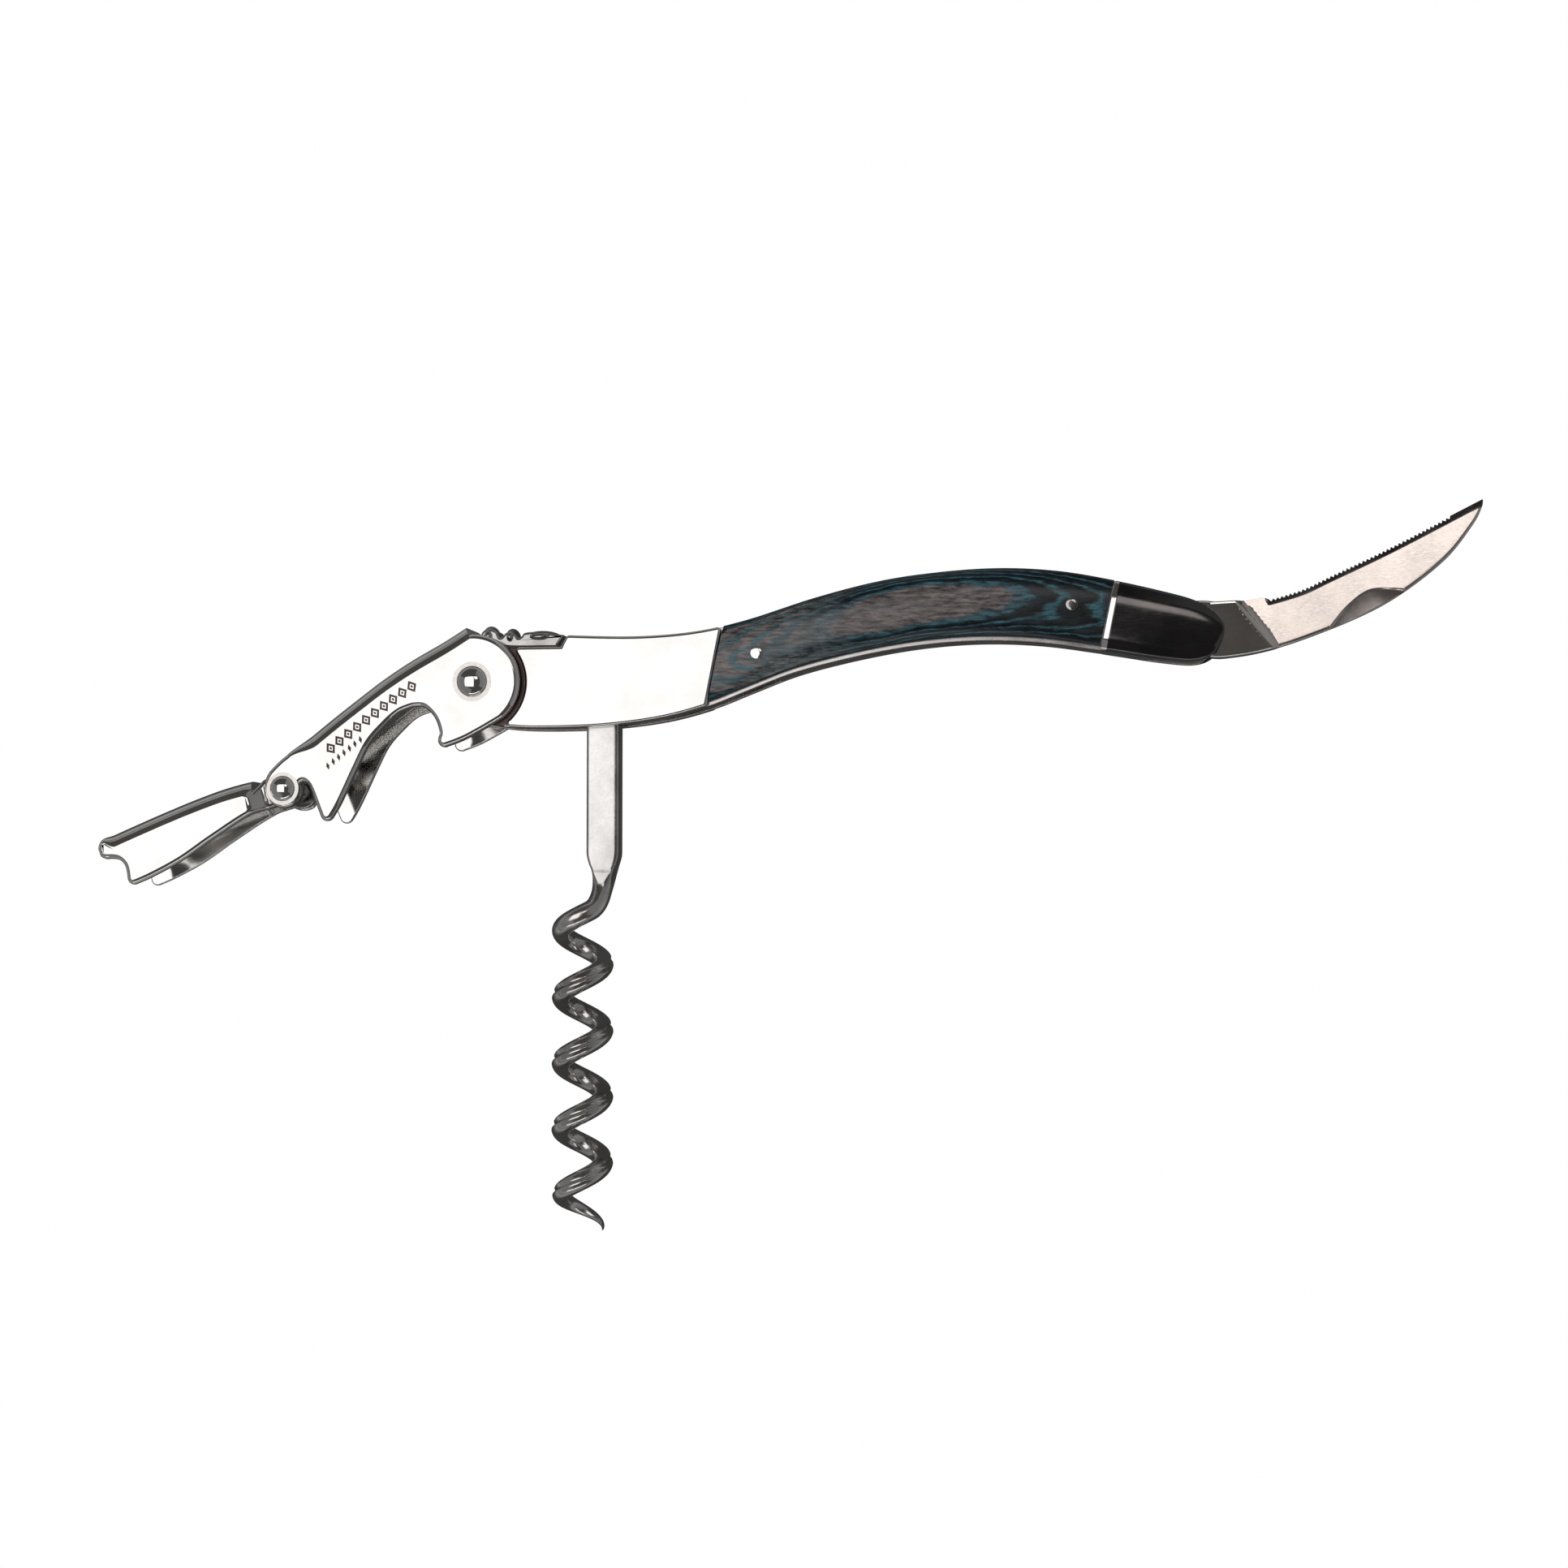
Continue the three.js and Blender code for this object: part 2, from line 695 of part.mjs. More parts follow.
addPair("liner", liner(), brushedSteel);
addPair("front_bolster", frontBolster(), polishedSteel);
addPair("wood_scale", woodScale(), wood);
addPair("rear_bolster", rearBolster(), polishedSteel);
addPair("rear_scale_pin", toGeometry(toSolid(bar(REAR_SCALE_PIN, SCALE_PIN_RADIUS, 2.1, 5.7))), polishedSteel);
addPair(
  "lever_washer",
  cut(
    bar(LEVER_PIVOT, 3.4, BOLSTER_RELIEF + 0.05, PLATE_INNER - 0.05, 24),
    bar(LEVER_PIVOT, LEVER_RIVET_RADIUS + PIN_GAP, 0, 8),
  ),
  brushedSteel,
);
add("front_scale_pin", bar(FRONT_SCALE_PIN, SCALE_PIN_RADIUS, -5.3, 5.3), polishedSteel());
add("spring_pin", bar(SPRING_PIN, SPRING_PIN_RADIUS, -LINER_OUTER, LINER_OUTER), brushedSteel());
add("back_spring", backSpring(), brushedSteel());
add("top_spring", topSpring(), brushedSteel());
add("spring_ornament", springOrnament(), darkChrome());
add("front_spacer", frontSpacer(), brushedSteel());
add("worm", worm(), darkChrome());
add("worm_pin", bar(WORM_PIVOT, WORM_PIN_RADIUS, -BOLSTER_OUTER + 0.05, BOLSTER_OUTER - 0.05), polishedSteel());
add("blade", blade(), brushedSteel());
add("blade_pin", bar(BLADE_PIVOT, BLADE_PIN_RADIUS, -4.0, 4.0), brushedSteel());
add("lever", lever(), polishedSteel());
add(
  "lever_rivet",
  rivet(LEVER_PIVOT, LEVER_RIVET_RADIUS, LEVER_DOME_RADIUS, PLATE_OUTER + 0.02, DOME_HEIGHT),
  darkChrome(),
);
add("second_arm", secondArm(), polishedSteel());
add(
  "second_arm_rivet",
  rivet(ARM_PIVOT, ARM_RIVET_RADIUS, ARM_DOME_RADIUS, PLATE_OUTER + 0.02, DOME_HEIGHT - 0.1),
  darkChrome(),
);
add("second_arm_spring", armSpring(), darkChrome());

// The origin is the middle of the underside of the model's box.
const box = new THREE.Box3().setFromObject(model);
const middle = box.getCenter(new THREE.Vector3());
model.position.set(-middle.x, -middle.y, -box.min.z);

export default model;
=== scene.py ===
import math

import bmesh
import bpy
from mathutils import Matrix, Vector


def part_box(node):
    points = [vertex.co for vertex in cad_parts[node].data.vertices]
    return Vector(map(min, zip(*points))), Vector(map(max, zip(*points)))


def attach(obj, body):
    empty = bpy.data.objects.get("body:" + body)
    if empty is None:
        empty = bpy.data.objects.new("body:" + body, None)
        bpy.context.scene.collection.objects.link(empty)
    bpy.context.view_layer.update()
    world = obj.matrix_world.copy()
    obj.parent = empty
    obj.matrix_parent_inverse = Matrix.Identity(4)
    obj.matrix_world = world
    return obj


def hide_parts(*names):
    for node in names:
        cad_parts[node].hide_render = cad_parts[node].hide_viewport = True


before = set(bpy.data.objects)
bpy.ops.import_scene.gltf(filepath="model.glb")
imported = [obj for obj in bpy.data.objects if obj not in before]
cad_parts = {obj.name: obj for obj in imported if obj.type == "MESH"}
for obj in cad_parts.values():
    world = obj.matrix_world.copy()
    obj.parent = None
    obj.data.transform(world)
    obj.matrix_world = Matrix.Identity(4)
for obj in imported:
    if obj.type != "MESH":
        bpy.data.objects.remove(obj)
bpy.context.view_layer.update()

# A waiter's corkscrew, opened. Every shape below is drawn in millimetres about the lever's pivot:
# X along the handle, Y up its height, Z through its thickness from the mid-plane.
MM = 0.001
RIVET_LOW, RIVET_HIGH = (Vector(corner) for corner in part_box("lever_rivet"))
ORIGIN = (RIVET_LOW + RIVET_HIGH) / 2

# ---- pivots, pins and layers ----
LEVER_PIVOT = (0.0, 0.0)
ARM_PIVOT = (-28.8, -15.7)
WORM_PIVOT = (19.0, -3.9)
BLADE_PIVOT = (104.7, 7.2)
FRONT_PIN = (42.4, 3.8)
REAR_PIN = (88.5, 10.3)
# Layers, as inner and outer distances from the mid-plane.
LINER = (2.0, 3.3)
BOLSTER = (3.35, 4.6)
PLATE = (4.9, 6.2)
ARM_LUG = (3.5, 4.7)
SPRING_HALF = 1.9

# The heads round the lever's pivot, and the relief in the bolsters that the lever's head turns in.
RELIEF_FACE = 4.3
RELIEF_RADIUS = 7.6
HEAD_RADIUS = 5.8
LEVER_HEAD_RADIUS = 7.1

# The slanting joints of wood and steel, as X at the lower and at the upper edge.
FRONT_JOINT = (35.0, 37.3)
REAR_JOINT = (92.6, 94.7)
JOINT_GAP = 0.08
NOSE_X = 110.35
RECESS_FLOOR = 5.2
RECESS_END = 13.0
RECESS_ANGLE = 180 - math.degrees(math.asin(RECESS_FLOOR / HEAD_RADIUS))


# ---- lines in the plane ----
DOUBLED = 0.03  # points nearer than this count as one
CORNER_TURN = 0.45  # a corner turns by more than this, in radians
CORNER_STEPS = 8
LONGEST_TRIM = 4.0  # the most of an edge that rounding a corner takes
NARROWEST_OPENING = 0.15
NEARLY_THERE = 0.98
SHARPEST_MITRE = 0.5


def mix(a, b, t):
    return a + (b - a) * t


def ease(t):
    """A smooth step from 0 to 1."""
    t = min(1.0, max(0.0, t))
    return t * t * (3 - 2 * t)


def through(points, steps=6):
    """A smooth line through the points."""
    last = len(points) - 1
    found = []
    for i in range(last):
        p0 = points[max(0, i - 1)]
        p1 = points[i]
        p2 = points[i + 1]
        p3 = points[min(last, i + 2)]
        for k in range(steps):
            t = k / steps
            spot = []
            for a, b, c, d in zip(p0, p1, p2, p3):
                m1 = (c - a) / 2
                m2 = (d - b) / 2
                cubic = 2 * b - 2 * c + m1 + m2
                square = 3 * c - 3 * b - 2 * m1 - m2
                spot.append(cubic * t**3 + square * t**2 + m1 * t + b)
            found.append(tuple(spot))
    found.append(tuple(points[last]))
    return found


def arc(centre, radius, start, end, count=16):
    """Points round a circle between two angles in degrees."""
    turns = [math.radians(mix(start, end, i / count)) for i in range(count + 1)]
    return [(centre[0] + radius * math.cos(a), centre[1] + radius * math.sin(a)) for a in turns]


def along(start, end, count, height):
    """Points of a curve given as a height over X."""
    xs = [mix(start, end, i / count) for i in range(count + 1)]
    return [(x, height(x)) for x in xs]


def direction(line, i):
    """The way a line runs at one of its points."""
    before = line[max(0, i - 1)]
    after = line[min(len(line) - 1, i + 1)]
    return Vector([b - a for a, b in zip(before, after)]).normalized()


def shifted(points, distance):
    """The points of a line moved to the left of its direction, by one distance or a list of them."""
    moved = []
    distances = distance if isinstance(distance, list) else [distance] * len(points)
    for i, (x, y) in enumerate(points):
        run = direction(points, i)
        moved.append((x - run.y * distances[i], y + run.x * distances[i]))
    return moved


def counterclockwise(points):
    """A closed outline with its inside on the left, without doubled points."""
    kept = []
    for p in points:
        if not kept or math.dist(p, kept[-1]) > DOUBLED:
            kept.append(p)
    if math.dist(kept[0], kept[-1]) <= DOUBLED:
        kept.pop()
    area = sum(a[0] * b[1] - b[0] * a[1] for a, b in zip(kept, kept[1:] + kept[:1]))
    return kept if area > 0 else kept[::-1]


def turn_at(points, i):
    """The angle by which an outline turns left at one of its points."""
    a = Vector(points[i]) - Vector(points[i - 1])
    b = Vector(points[(i + 1) % len(points)]) - Vector(points[i])
    return math.atan2(a.x * b.y - a.y * b.x, a.dot(b))


def softened(points, radius):
    """The outline with each outward corner rounded."""
    points = counterclockwise(points)
    sharp = [points[i] for i in range(len(points)) if turn_at(points, i) > CORNER_TURN]
    for corner in sharp:
        if corner not in points:
            continue
        i = points.index(corner)
        half = (math.pi - turn_at(points, i)) / 2
        reach = min(LONGEST_TRIM, radius / math.tan(half))
        line = points[i:] + points[:i]
        ahead = walked(line, reach)
        behind = walked([line[0], *ahead[::-1]], reach)
        start = Vector(behind[0])
        end = Vector(behind[-1])
        tip = Vector(corner)
        a = (start - tip).normalized()
        b = (end - tip).normalized()
        opening = a.angle(b) / 2
        centre = tip + (a + b).normalized() * (radius / math.sin(max(NARROWEST_OPENING, opening)))
        first = start - centre
        last = end - centre
        sweep = math.atan2(first.x * last.y - first.y * last.x, first.dot(last))
        if sweep < 0:
            sweep += 2 * math.pi
        base = math.atan2(first.y, first.x)
        bend = []
        for k in range(1, CORNER_STEPS):
            size = mix(first.length, last.length, k / CORNER_STEPS)
            angle = base + sweep * k / CORNER_STEPS
            bend.append((centre.x + size * math.cos(angle), centre.y + size * math.sin(angle)))
        points = counterclockwise([*bend, *behind[::-1]])
    return points


def walked(line, reach):
    """The rest of a line from a distance along it."""
    gone = 0.0
    for k in range(1, len(line)):
        step = math.dist(line[k - 1], line[k])
        if gone + step > reach:
            t = (reach - gone) / step
            here = tuple(mix(a, b, t) for a, b in zip(line[k - 1], line[k]))
            return [here, *line[k:]] if t < NEARLY_THERE else list(line[k:])
        gone += step
    return list(line[-1:])


def inset(points, distance):
    """The outline moved inwards."""
    moved = []
    for i, p in enumerate(points):
        before = (Vector(p) - Vector(points[i - 1])).normalized()
        after = (Vector(points[(i + 1) % len(points)]) - Vector(p)).normalized()
        left = Vector((-before.y, before.x))
        middle = (left + Vector((-after.y, after.x))).normalized()
        reach = distance / max(SHARPEST_MITRE, middle.dot(left))
        moved.append((p[0] + middle.x * reach, p[1] + middle.y * reach))
    return moved


def measured(line):
    """The distance along a line to each of its points."""
    marks_along = [0.0]
    for a, b in zip(line, line[1:]):
        marks_along.append(marks_along[-1] + math.dist(a, b))
    return marks_along


def at_distance(line, marks_along, distance):
    """The place at a distance along a measured line."""
    for k in range(1, len(line)):
        if distance <= marks_along[k]:
            t = (distance - marks_along[k - 1]) / max(1e-9, marks_along[k] - marks_along[k - 1])
            return tuple(mix(a, b, t) for a, b in zip(line[k - 1], line[k]))
    return line[-1]


# ---- solids, as (points, faces) ----
FOLD_STEPS = 10
THINNEST_BEND = 0.03


def joined(*shapes):
    points = []
    faces = []
    for more, sides in shapes:
        base = len(points)
        points.extend(more)
        faces.extend(tuple(base + i for i in side) for side in sides)
    return points, faces


def mirrored(shape):
    points, faces = shape
    return [(x, y, -z) for x, y, z in points], [side[::-1] for side in faces]


def both(shape):
    """The shape and its mirror image across the mid-plane."""
    return joined(shape, mirrored(shape))


def lofted(rings, closed=False):
    """Skin over rings of equal size, with flat ends unless it is closed on itself."""
    size = len(rings[0])
    points = [p for ring in rings for p in ring]
    faces = []
    for i in range(len(rings) if closed else len(rings) - 1):
        low = i * size
        high = ((i + 1) % len(rings)) * size
        for k in range(size):
            n = (k + 1) % size
            faces.append((low + k, low + n, high + n, high + k))
    if not closed:
        faces.append(tuple(range(size))[::-1])
        faces.append(tuple((len(rings) - 1) * size + k for k in range(size)))
    return points, faces


def rounded_plate(points, low, high, low_edge, high_edge, steps=4):
    """A plate between two heights, with both rims rounded."""
    points = softened(points, max(low_edge, high_edge) * 1.25)
    rings = []
    for k in range(steps, -1, -1):
        a = k / steps * math.pi / 2
        ring = inset(points, low_edge * (1 - math.cos(a)))
        rings.append([(x, y, low + low_edge * (1 - math.sin(a))) for x, y in ring])
    for k in range(steps + 1):
        a = k / steps * math.pi / 2
        ring = inset(points, high_edge * (1 - math.cos(a)))
        rings.append([(x, y, high - high_edge * (1 - math.sin(a))) for x, y in ring])
    return lofted(rings)


def turned(centre, profile, sides=48, closed=False):
    """A profile of (radius, height) turned about Z."""
    rings = []
    for radius, height in profile:
        circle = arc(centre, radius, 0, 360 - 360 / sides, sides - 1)
        rings.append([(x, y, height) for x, y in circle])
    return lofted(rings, closed)


def crowned(place, along_steps, across_steps, back):
    """A slab with a flat back and a shaped face; place(s, t) gives a point of the face."""
    rows = across_steps + 1
    face = [place(i / along_steps, j / across_steps) for i in range(along_steps + 1) for j in range(rows)]
    points = face + [(x, y, back) for x, y, z in face]
    layer = len(face)
    faces = []
    for i in range(along_steps):
        for j in range(across_steps):
            a = i * rows + j
            faces.append((a, a + rows, a + rows + 1, a + 1))
            faces.append((layer + a, layer + a + 1, layer + a + rows + 1, layer + a + rows))
        low = i * rows
        high = low + across_steps
        faces.append((low, layer + low, layer + low + rows, low + rows))
        faces.append((high, high + rows, layer + high + rows, layer + high))
    for j in range(across_steps):
        far = along_steps * rows + j
        faces.append((j, j + 1, layer + j + 1, layer + j))
        faces.append((far, layer + far, layer + far + 1, far + 1))
    return points, faces


def folded(spine, bends, half_width, sheet):
    """The bent back of a U-channel, swept along its spine with its own bend radius at each point."""
    rings = []
    for i, (x, y) in enumerate(spine):
        bend = bends[i]
        centre = half_width - bend
        outside = []
        inside = []
        inner = max(THINNEST_BEND, bend - sheet)
        for k in range(FOLD_STEPS + 1):
            a = math.radians(90 * k / FOLD_STEPS)
            outside.append((bend - bend * math.sin(a), centre + bend * math.cos(a)))
            inside.append((bend - inner * math.sin(a), centre + inner * math.cos(a)))
        section = outside + [(d, -z) for d, z in outside[::-1]]
        section += [(d, -z) for d, z in inside] + inside[::-1]
        run = direction(spine, i)
        rings.append([(x - run.y * d, y + run.x * d, z) for d, z in section])
    return lofted(rings)


# ---- the handle's long edges ----
TOP_EDGE = through([
    (13.6, 6.9), (24, 6.6), (33, 7.2), (41, 8.9), (51, 12.0), (61, 14.4), (70.7, 15.6), (79, 15.9),
    (87, 15.3), (95, 13.8), (102.4, 12.0), (106, 10.9), (108.4, 9.6), (109.8, 8.2), (110.5, 6.8),
])
BOTTOM_EDGE = through([
    (0, -5.9), (5, -6.7), (12, -6.9), (20, -6.6), (28, -5.6), (35, -3.8), (41, -1.5), (48, 1.1),
    (57, 3.3), (66, 4.8), (75, 5.4), (84, 5.0), (93, 3.7), (101, 2.4), (106, 2.0), (108.7, 3.0),
    (109.9, 5.0), (110.5, 6.8),
])


def height_on(edge, x):
    for (x0, y0), (x1, y1) in zip(edge, edge[1:]):
        if x <= x1:
            return mix(y0, y1, (x - x0) / (x1 - x0))
    return edge[-1][1]


def top_at(x):
    return height_on(TOP_EDGE, x)


def bottom_at(x):
    return height_on(BOTTOM_EDGE, x)


# ---- materials ----
def material(name, metallic=0.0):
    made = bpy.data.materials.new(name)
    made.use_nodes = True
    shader = made.node_tree.nodes["Principled BSDF"]
    shader.inputs["Metallic"].default_value = metallic
    return made, made.node_tree, shader


def added(tree, kind, inputs, **settings):
    """A new node with its settings, and a value or a link for some of its inputs."""
    node = tree.nodes.new(kind)
    for name, value in settings.items():
        setattr(node, name, value)
    for name, value in inputs.items():
        if isinstance(value, bpy.types.NodeSocket):
            tree.links.new(value, node.inputs[name])
        else:
            node.inputs[name].default_value = value
    return node


def place_in(tree, stretch=(1, 1, 1), turn=0.0):
    """Coordinates fixed to the piece, in millimetres about the lever's pivot."""
    vector = tree.nodes.new("ShaderNodeTexCoord").outputs["Object"]
    to_pivot = {"Location": tuple(-c / MM for c in ORIGIN), "Scale": (1 / MM, 1 / MM, 1 / MM)}
    for settings in (to_pivot, {"Rotation": (0, 0, turn), "Scale": stretch}):
        vector = added(tree, "ShaderNodeMapping", {"Vector": vector, **settings}).outputs["Vector"]
    return vector


def noise(tree, vector, scale, detail, roughness=0.55):
    inputs = {"Vector": vector, "Scale": scale, "Detail": detail, "Roughness": roughness}
    return added(tree, "ShaderNodeTexNoise", inputs).outputs["Fac"]


def ramp(tree, value, stops):
    """Colours eased between stops of (value, colour)."""
    node = added(tree, "ShaderNodeValToRGB", {"Fac": value})
    node.color_ramp.interpolation = "EASE"
    marks = node.color_ramp.elements
    while len(marks) < len(stops):
        marks.new(0.5)
    for mark, (place, colour) in zip(marks, stops):
        mark.position = place
        mark.color = (*colour, 1)
    return node.outputs["Color"]


def span(tree, value, low, high, from_low=0.3, from_high=0.7):
    """A value carried from one range to another, and kept within it."""
    inputs = {"Value": value, "From Min": from_low, "From Max": from_high, "To Min": low, "To Max": high}
    return added(tree, "ShaderNodeMapRange", inputs).outputs["Result"]


def maths(tree, operation, a, b):
    return added(tree, "ShaderNodeMath", {0: a, 1: b}, operation=operation).outputs["Value"]


def bumped(tree, shader, height, distance):
    """Relief that follows a value, as deep as a distance in millimetres."""
    inputs = {"Strength": 1.0, "Distance": distance * MM, "Height": height}
    tree.links.new(added(tree, "ShaderNodeBump", inputs).outputs["Normal"], shader.inputs["Normal"])


def metal(name, dark, light, rough, grain, turn, relief=0.0004, grain_scale=2.0):
    """Polished or brushed metal: cloudy tint, uneven gloss and fine scratches along a turned grain."""
    made, tree, shader = material(name, 1.0)
    cloud = noise(tree, place_in(tree), 0.16, 4.0)
    tree.links.new(ramp(tree, cloud, [(0.3, dark), (0.7, light)]), shader.inputs["Base Color"])
    scratches = noise(tree, place_in(tree, grain, turn), grain_scale, 5.0, 0.7)
    fine = span(tree, scratches, 0.7, 1.3)
    broad = span(tree, cloud, rough * 0.8, rough * 1.2)
    gloss = maths(tree, "MULTIPLY", fine, broad)
    tree.links.new(gloss, shader.inputs["Roughness"])
    bumped(tree, shader, scratches, relief)
    return made


LAYERS_DEPTH = (4.3, 6.05)  # distances from the mid-plane between which the dyed sheets lie
FRONT_LAYERS_END = (47, 58)  # X over which the browner sheets of the front end give way


def wood_material():
    """Dyed laminate: thin sheets cut through by the crowned face, with fibre flecks."""
    made, tree, shader = material("dyed_laminate")
    place = added(tree, "ShaderNodeSeparateXYZ", {"Vector": place_in(tree)}).outputs
    height = maths(tree, "ABSOLUTE", place["Z"], 0)
    wave = noise(tree, place_in(tree, (0.35, 1, 1)), 0.16, 3.0)
    ripple = noise(tree, place_in(tree, (0.5, 1, 1)), 0.9, 4.0, 0.65)
    depth = maths(tree, "ADD", height, span(tree, wave, -0.20, 0.20))
    depth = maths(tree, "ADD", depth, span(tree, ripple, -0.05, 0.05))
    level = span(tree, depth, 0, 1, *LAYERS_DEPTH)
    black = (0.0008, 0.0014, 0.002)
    navy = (0.003, 0.010, 0.015)
    teal = (0.009, 0.056, 0.072)
    slate = (0.024, 0.046, 0.058)
    brown = (0.070, 0.059, 0.056)
    crest = ramp(tree, level, [
        (0.0, navy), (0.10, black), (0.17, teal), (0.22, black), (0.33, navy), (0.38, teal),
        (0.42, black), (0.52, navy), (0.57, teal), (0.62, black), (0.70, navy), (0.75, teal),
        (0.81, slate), (0.84, brown), (1.0, brown),
    ])
    front = ramp(tree, level, [
        (0.0, navy), (0.04, black), (0.08, teal), (0.12, black), (0.15, brown), (0.22, brown),
        (0.26, slate), (0.30, brown), (0.37, teal), (0.42, brown), (0.50, brown), (0.55, teal),
        (0.60, brown), (0.68, slate), (0.76, brown), (0.84, slate), (0.90, brown), (1.0, brown),
    ])
    toward_front = span(tree, place["X"], 1, 0, *FRONT_LAYERS_END)
    layers = added(tree, "ShaderNodeMix", {0: toward_front, 6: crest, 7: front}, data_type="RGBA")
    fibres = noise(tree, place_in(tree, (0.17, 1.0, 1), 0.12), 2.3, 4.0, 0.75)
    streak = span(tree, fibres, 0.30, 1.9, 0.38, 0.66)
    scaled = {0: layers.outputs[2], "Scale": streak}
    tinted = added(tree, "ShaderNodeVectorMath", scaled, operation="SCALE")
    tree.links.new(tinted.outputs["Vector"], shader.inputs["Base Color"])
    tree.links.new(span(tree, fibres, 0.24, 0.40), shader.inputs["Roughness"])
    shader.inputs["Coat Weight"].default_value = 0.3
    shader.inputs["Coat Roughness"].default_value = 0.18
    bumped(tree, shader, fibres, 0.012)
    return made


STEEL = metal("mirror_steel", (0.83, 0.82, 0.80), (0.95, 0.94, 0.93), 0.07, (0.3, 3, 1), 0.6)
SATIN = metal("satin_blade_steel", (0.86, 0.80, 0.77), (0.95, 0.90, 0.87), 0.20,
              (0.5, 5, 1), -0.45, 0.0008, 3.0)
BRUSHED = metal("brushed_liner_steel", (0.62, 0.58, 0.56), (0.80, 0.76, 0.74), 0.22,
                (0.12, 4, 2), 0.1, 0.002, 2.0)
# Dark chrome for the thumb rest, the spring and the rear pins, and as painted shade on the second arm's
# lugs.
DARK_CHROME_AND_PAINTED_SHADE = metal("dark_chrome", (0.36, 0.345, 0.335), (0.60, 0.58, 0.565), 0.12, (1, 1, 1), 0.0, 0.002, 1.4)
SHANK = metal("worm_chrome", (0.60, 0.58, 0.56), (0.86, 0.84, 0.83), 0.19, (1, 1, 1), 0.0, 0.0004, 2.6)
SMOKE = metal("smoked_bolster_steel", (0.11, 0.11, 0.12), (0.16, 0.155, 0.155), 0.12, (0.3, 2, 1), -0.2)
GROUND = metal("ground_edge_steel", (0.13, 0.12, 0.12), (0.24, 0.23, 0.23), 0.34,
               (2, 2, 2), 0.0, 0.004, 3.0)
# A dark finish for the etched border, and as painted shade on the front bolsters' relief floor.
ETCH_AND_PAINTED_SHADE = metal("etched_mark_and_painted_shade", (0.07, 0.05, 0.045), (0.17, 0.13, 0.12), 0.42, (1, 1, 1), 0.0, 0.01, 6.0)
# A pale warm finish for the rings round the rivets: a painted reflection.
RING_PAINTED_REFLECTION = metal("rivet_ring_painted_reflection", (0.72, 0.68, 0.64), (0.86, 0.83, 0.80), 0.26, (1, 1, 1), 0.0, 0.001, 3.0)
WOOD = wood_material()


# ---- pieces ----
SHARP_ANGLE = math.radians(48)


def in_scene(name, data):
    made = bpy.data.objects.new(name, data)
    bpy.context.scene.collection.objects.link(made)
    return made


def solid(name, shape):
    """An object of a shape drawn in millimetres, with its faces turned outwards."""
    points, faces = shape
    mesh = bpy.data.meshes.new(name)
    mesh.from_pydata([ORIGIN + Vector(p) * MM for p in points], [], faces)
    mesh.validate()
    sculpt = bmesh.new()
    sculpt.from_mesh(mesh)
    bmesh.ops.recalc_face_normals(sculpt, faces=sculpt.faces)
    sculpt.to_mesh(mesh)
    sculpt.free()
    return in_scene(name, mesh)


def piece(name, shape, finish, body, nodes):
    """A piece that rides on a body, stands for nodes of the CAD and fills a slot."""
    made = solid(name, shape)
    mesh = made.data
    mesh.polygons.foreach_set("use_smooth", [True] * len(mesh.polygons))
    mesh.set_sharp_from_angle(angle=SHARP_ANGLE)
    mesh.materials.append(finish)
    normals = made.modifiers.new("normals", "WEIGHTED_NORMAL")
    normals.keep_sharp = True
    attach(made, body)
    if nodes:
        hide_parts(*nodes)
    return made


def pair(name, shape, finish, body, nodes):
    """One piece on each side of the mid-plane."""
    left = piece(name + "_left", shape, finish, body, [n + "_left" for n in nodes])
    right = piece(name + "_right", mirrored(shape), finish, body, [n + "_right" for n in nodes])
    return left, right


def add_finishes(made, finishes, choose):
    """More finishes for a piece: choose(x, y) gives the number of the one for the face centred there."""
    for finish in finishes:
        made.data.materials.append(finish)
    for facet in made.data.polygons:
        centre = (facet.center - ORIGIN) / MM
        facet.material_index = choose(centre.x, centre.y)


# Liners: the two side plates.
HEAD_ARC = arc(LEVER_PIVOT, HEAD_RADIUS, RECESS_ANGLE, 269, 24)
RECESS_CORNER = [(RECESS_END, RECESS_FLOOR)]
RECESS_TOP = RECESS_END + 0.9
EDGE_START = 0.6
LINER_NOSE = 107
LINER_BELOW_TOP = 0.06

liner = [(0, -HEAD_RADIUS)]
liner += along(EDGE_START, LINER_NOSE, 110, bottom_at)
liner += through([(107.8, 2.8), (108.6, 3.6), (109.2, 6.4), (108.2, 9.2)])
liner += along(LINER_NOSE, RECESS_TOP, 96, lambda x: top_at(x) - LINER_BELOW_TOP)
liner += RECESS_CORNER
liner += HEAD_ARC
pair("side_liner", rounded_plate(liner, *LINER, 0.1, 0.1, 2), BRUSHED, "handle", ["liner"])

# Front bolsters: flat cheeks with a relief round the lever's head.
RELIEF_FOOT_X = 3.4
HEAD_END = 8.4

low, high = FRONT_JOINT
cheek = along(7.4, low - JOINT_GAP, 34, bottom_at)
cheek += along(high - JOINT_GAP, RECESS_TOP, 30, top_at)
cheek += RECESS_CORNER
meet = math.degrees(math.asin(RECESS_FLOOR / RELIEF_RADIUS))
foot = math.degrees(math.atan2(bottom_at(RELIEF_FOOT_X), RELIEF_FOOT_X))
cheek += arc(LEVER_PIVOT, RELIEF_RADIUS, meet, foot + 3, 22)
head = [(0, -HEAD_RADIUS)]
head += along(EDGE_START, HEAD_END, 10, bottom_at)
head += [(HEAD_END, RECESS_FLOOR)]
head += HEAD_ARC
bolster = joined(
    rounded_plate(cheek, *BOLSTER, 0.08, 0.5),
    rounded_plate(head, BOLSTER[0], RELIEF_FACE, 0.08, 0.2, 3),
)


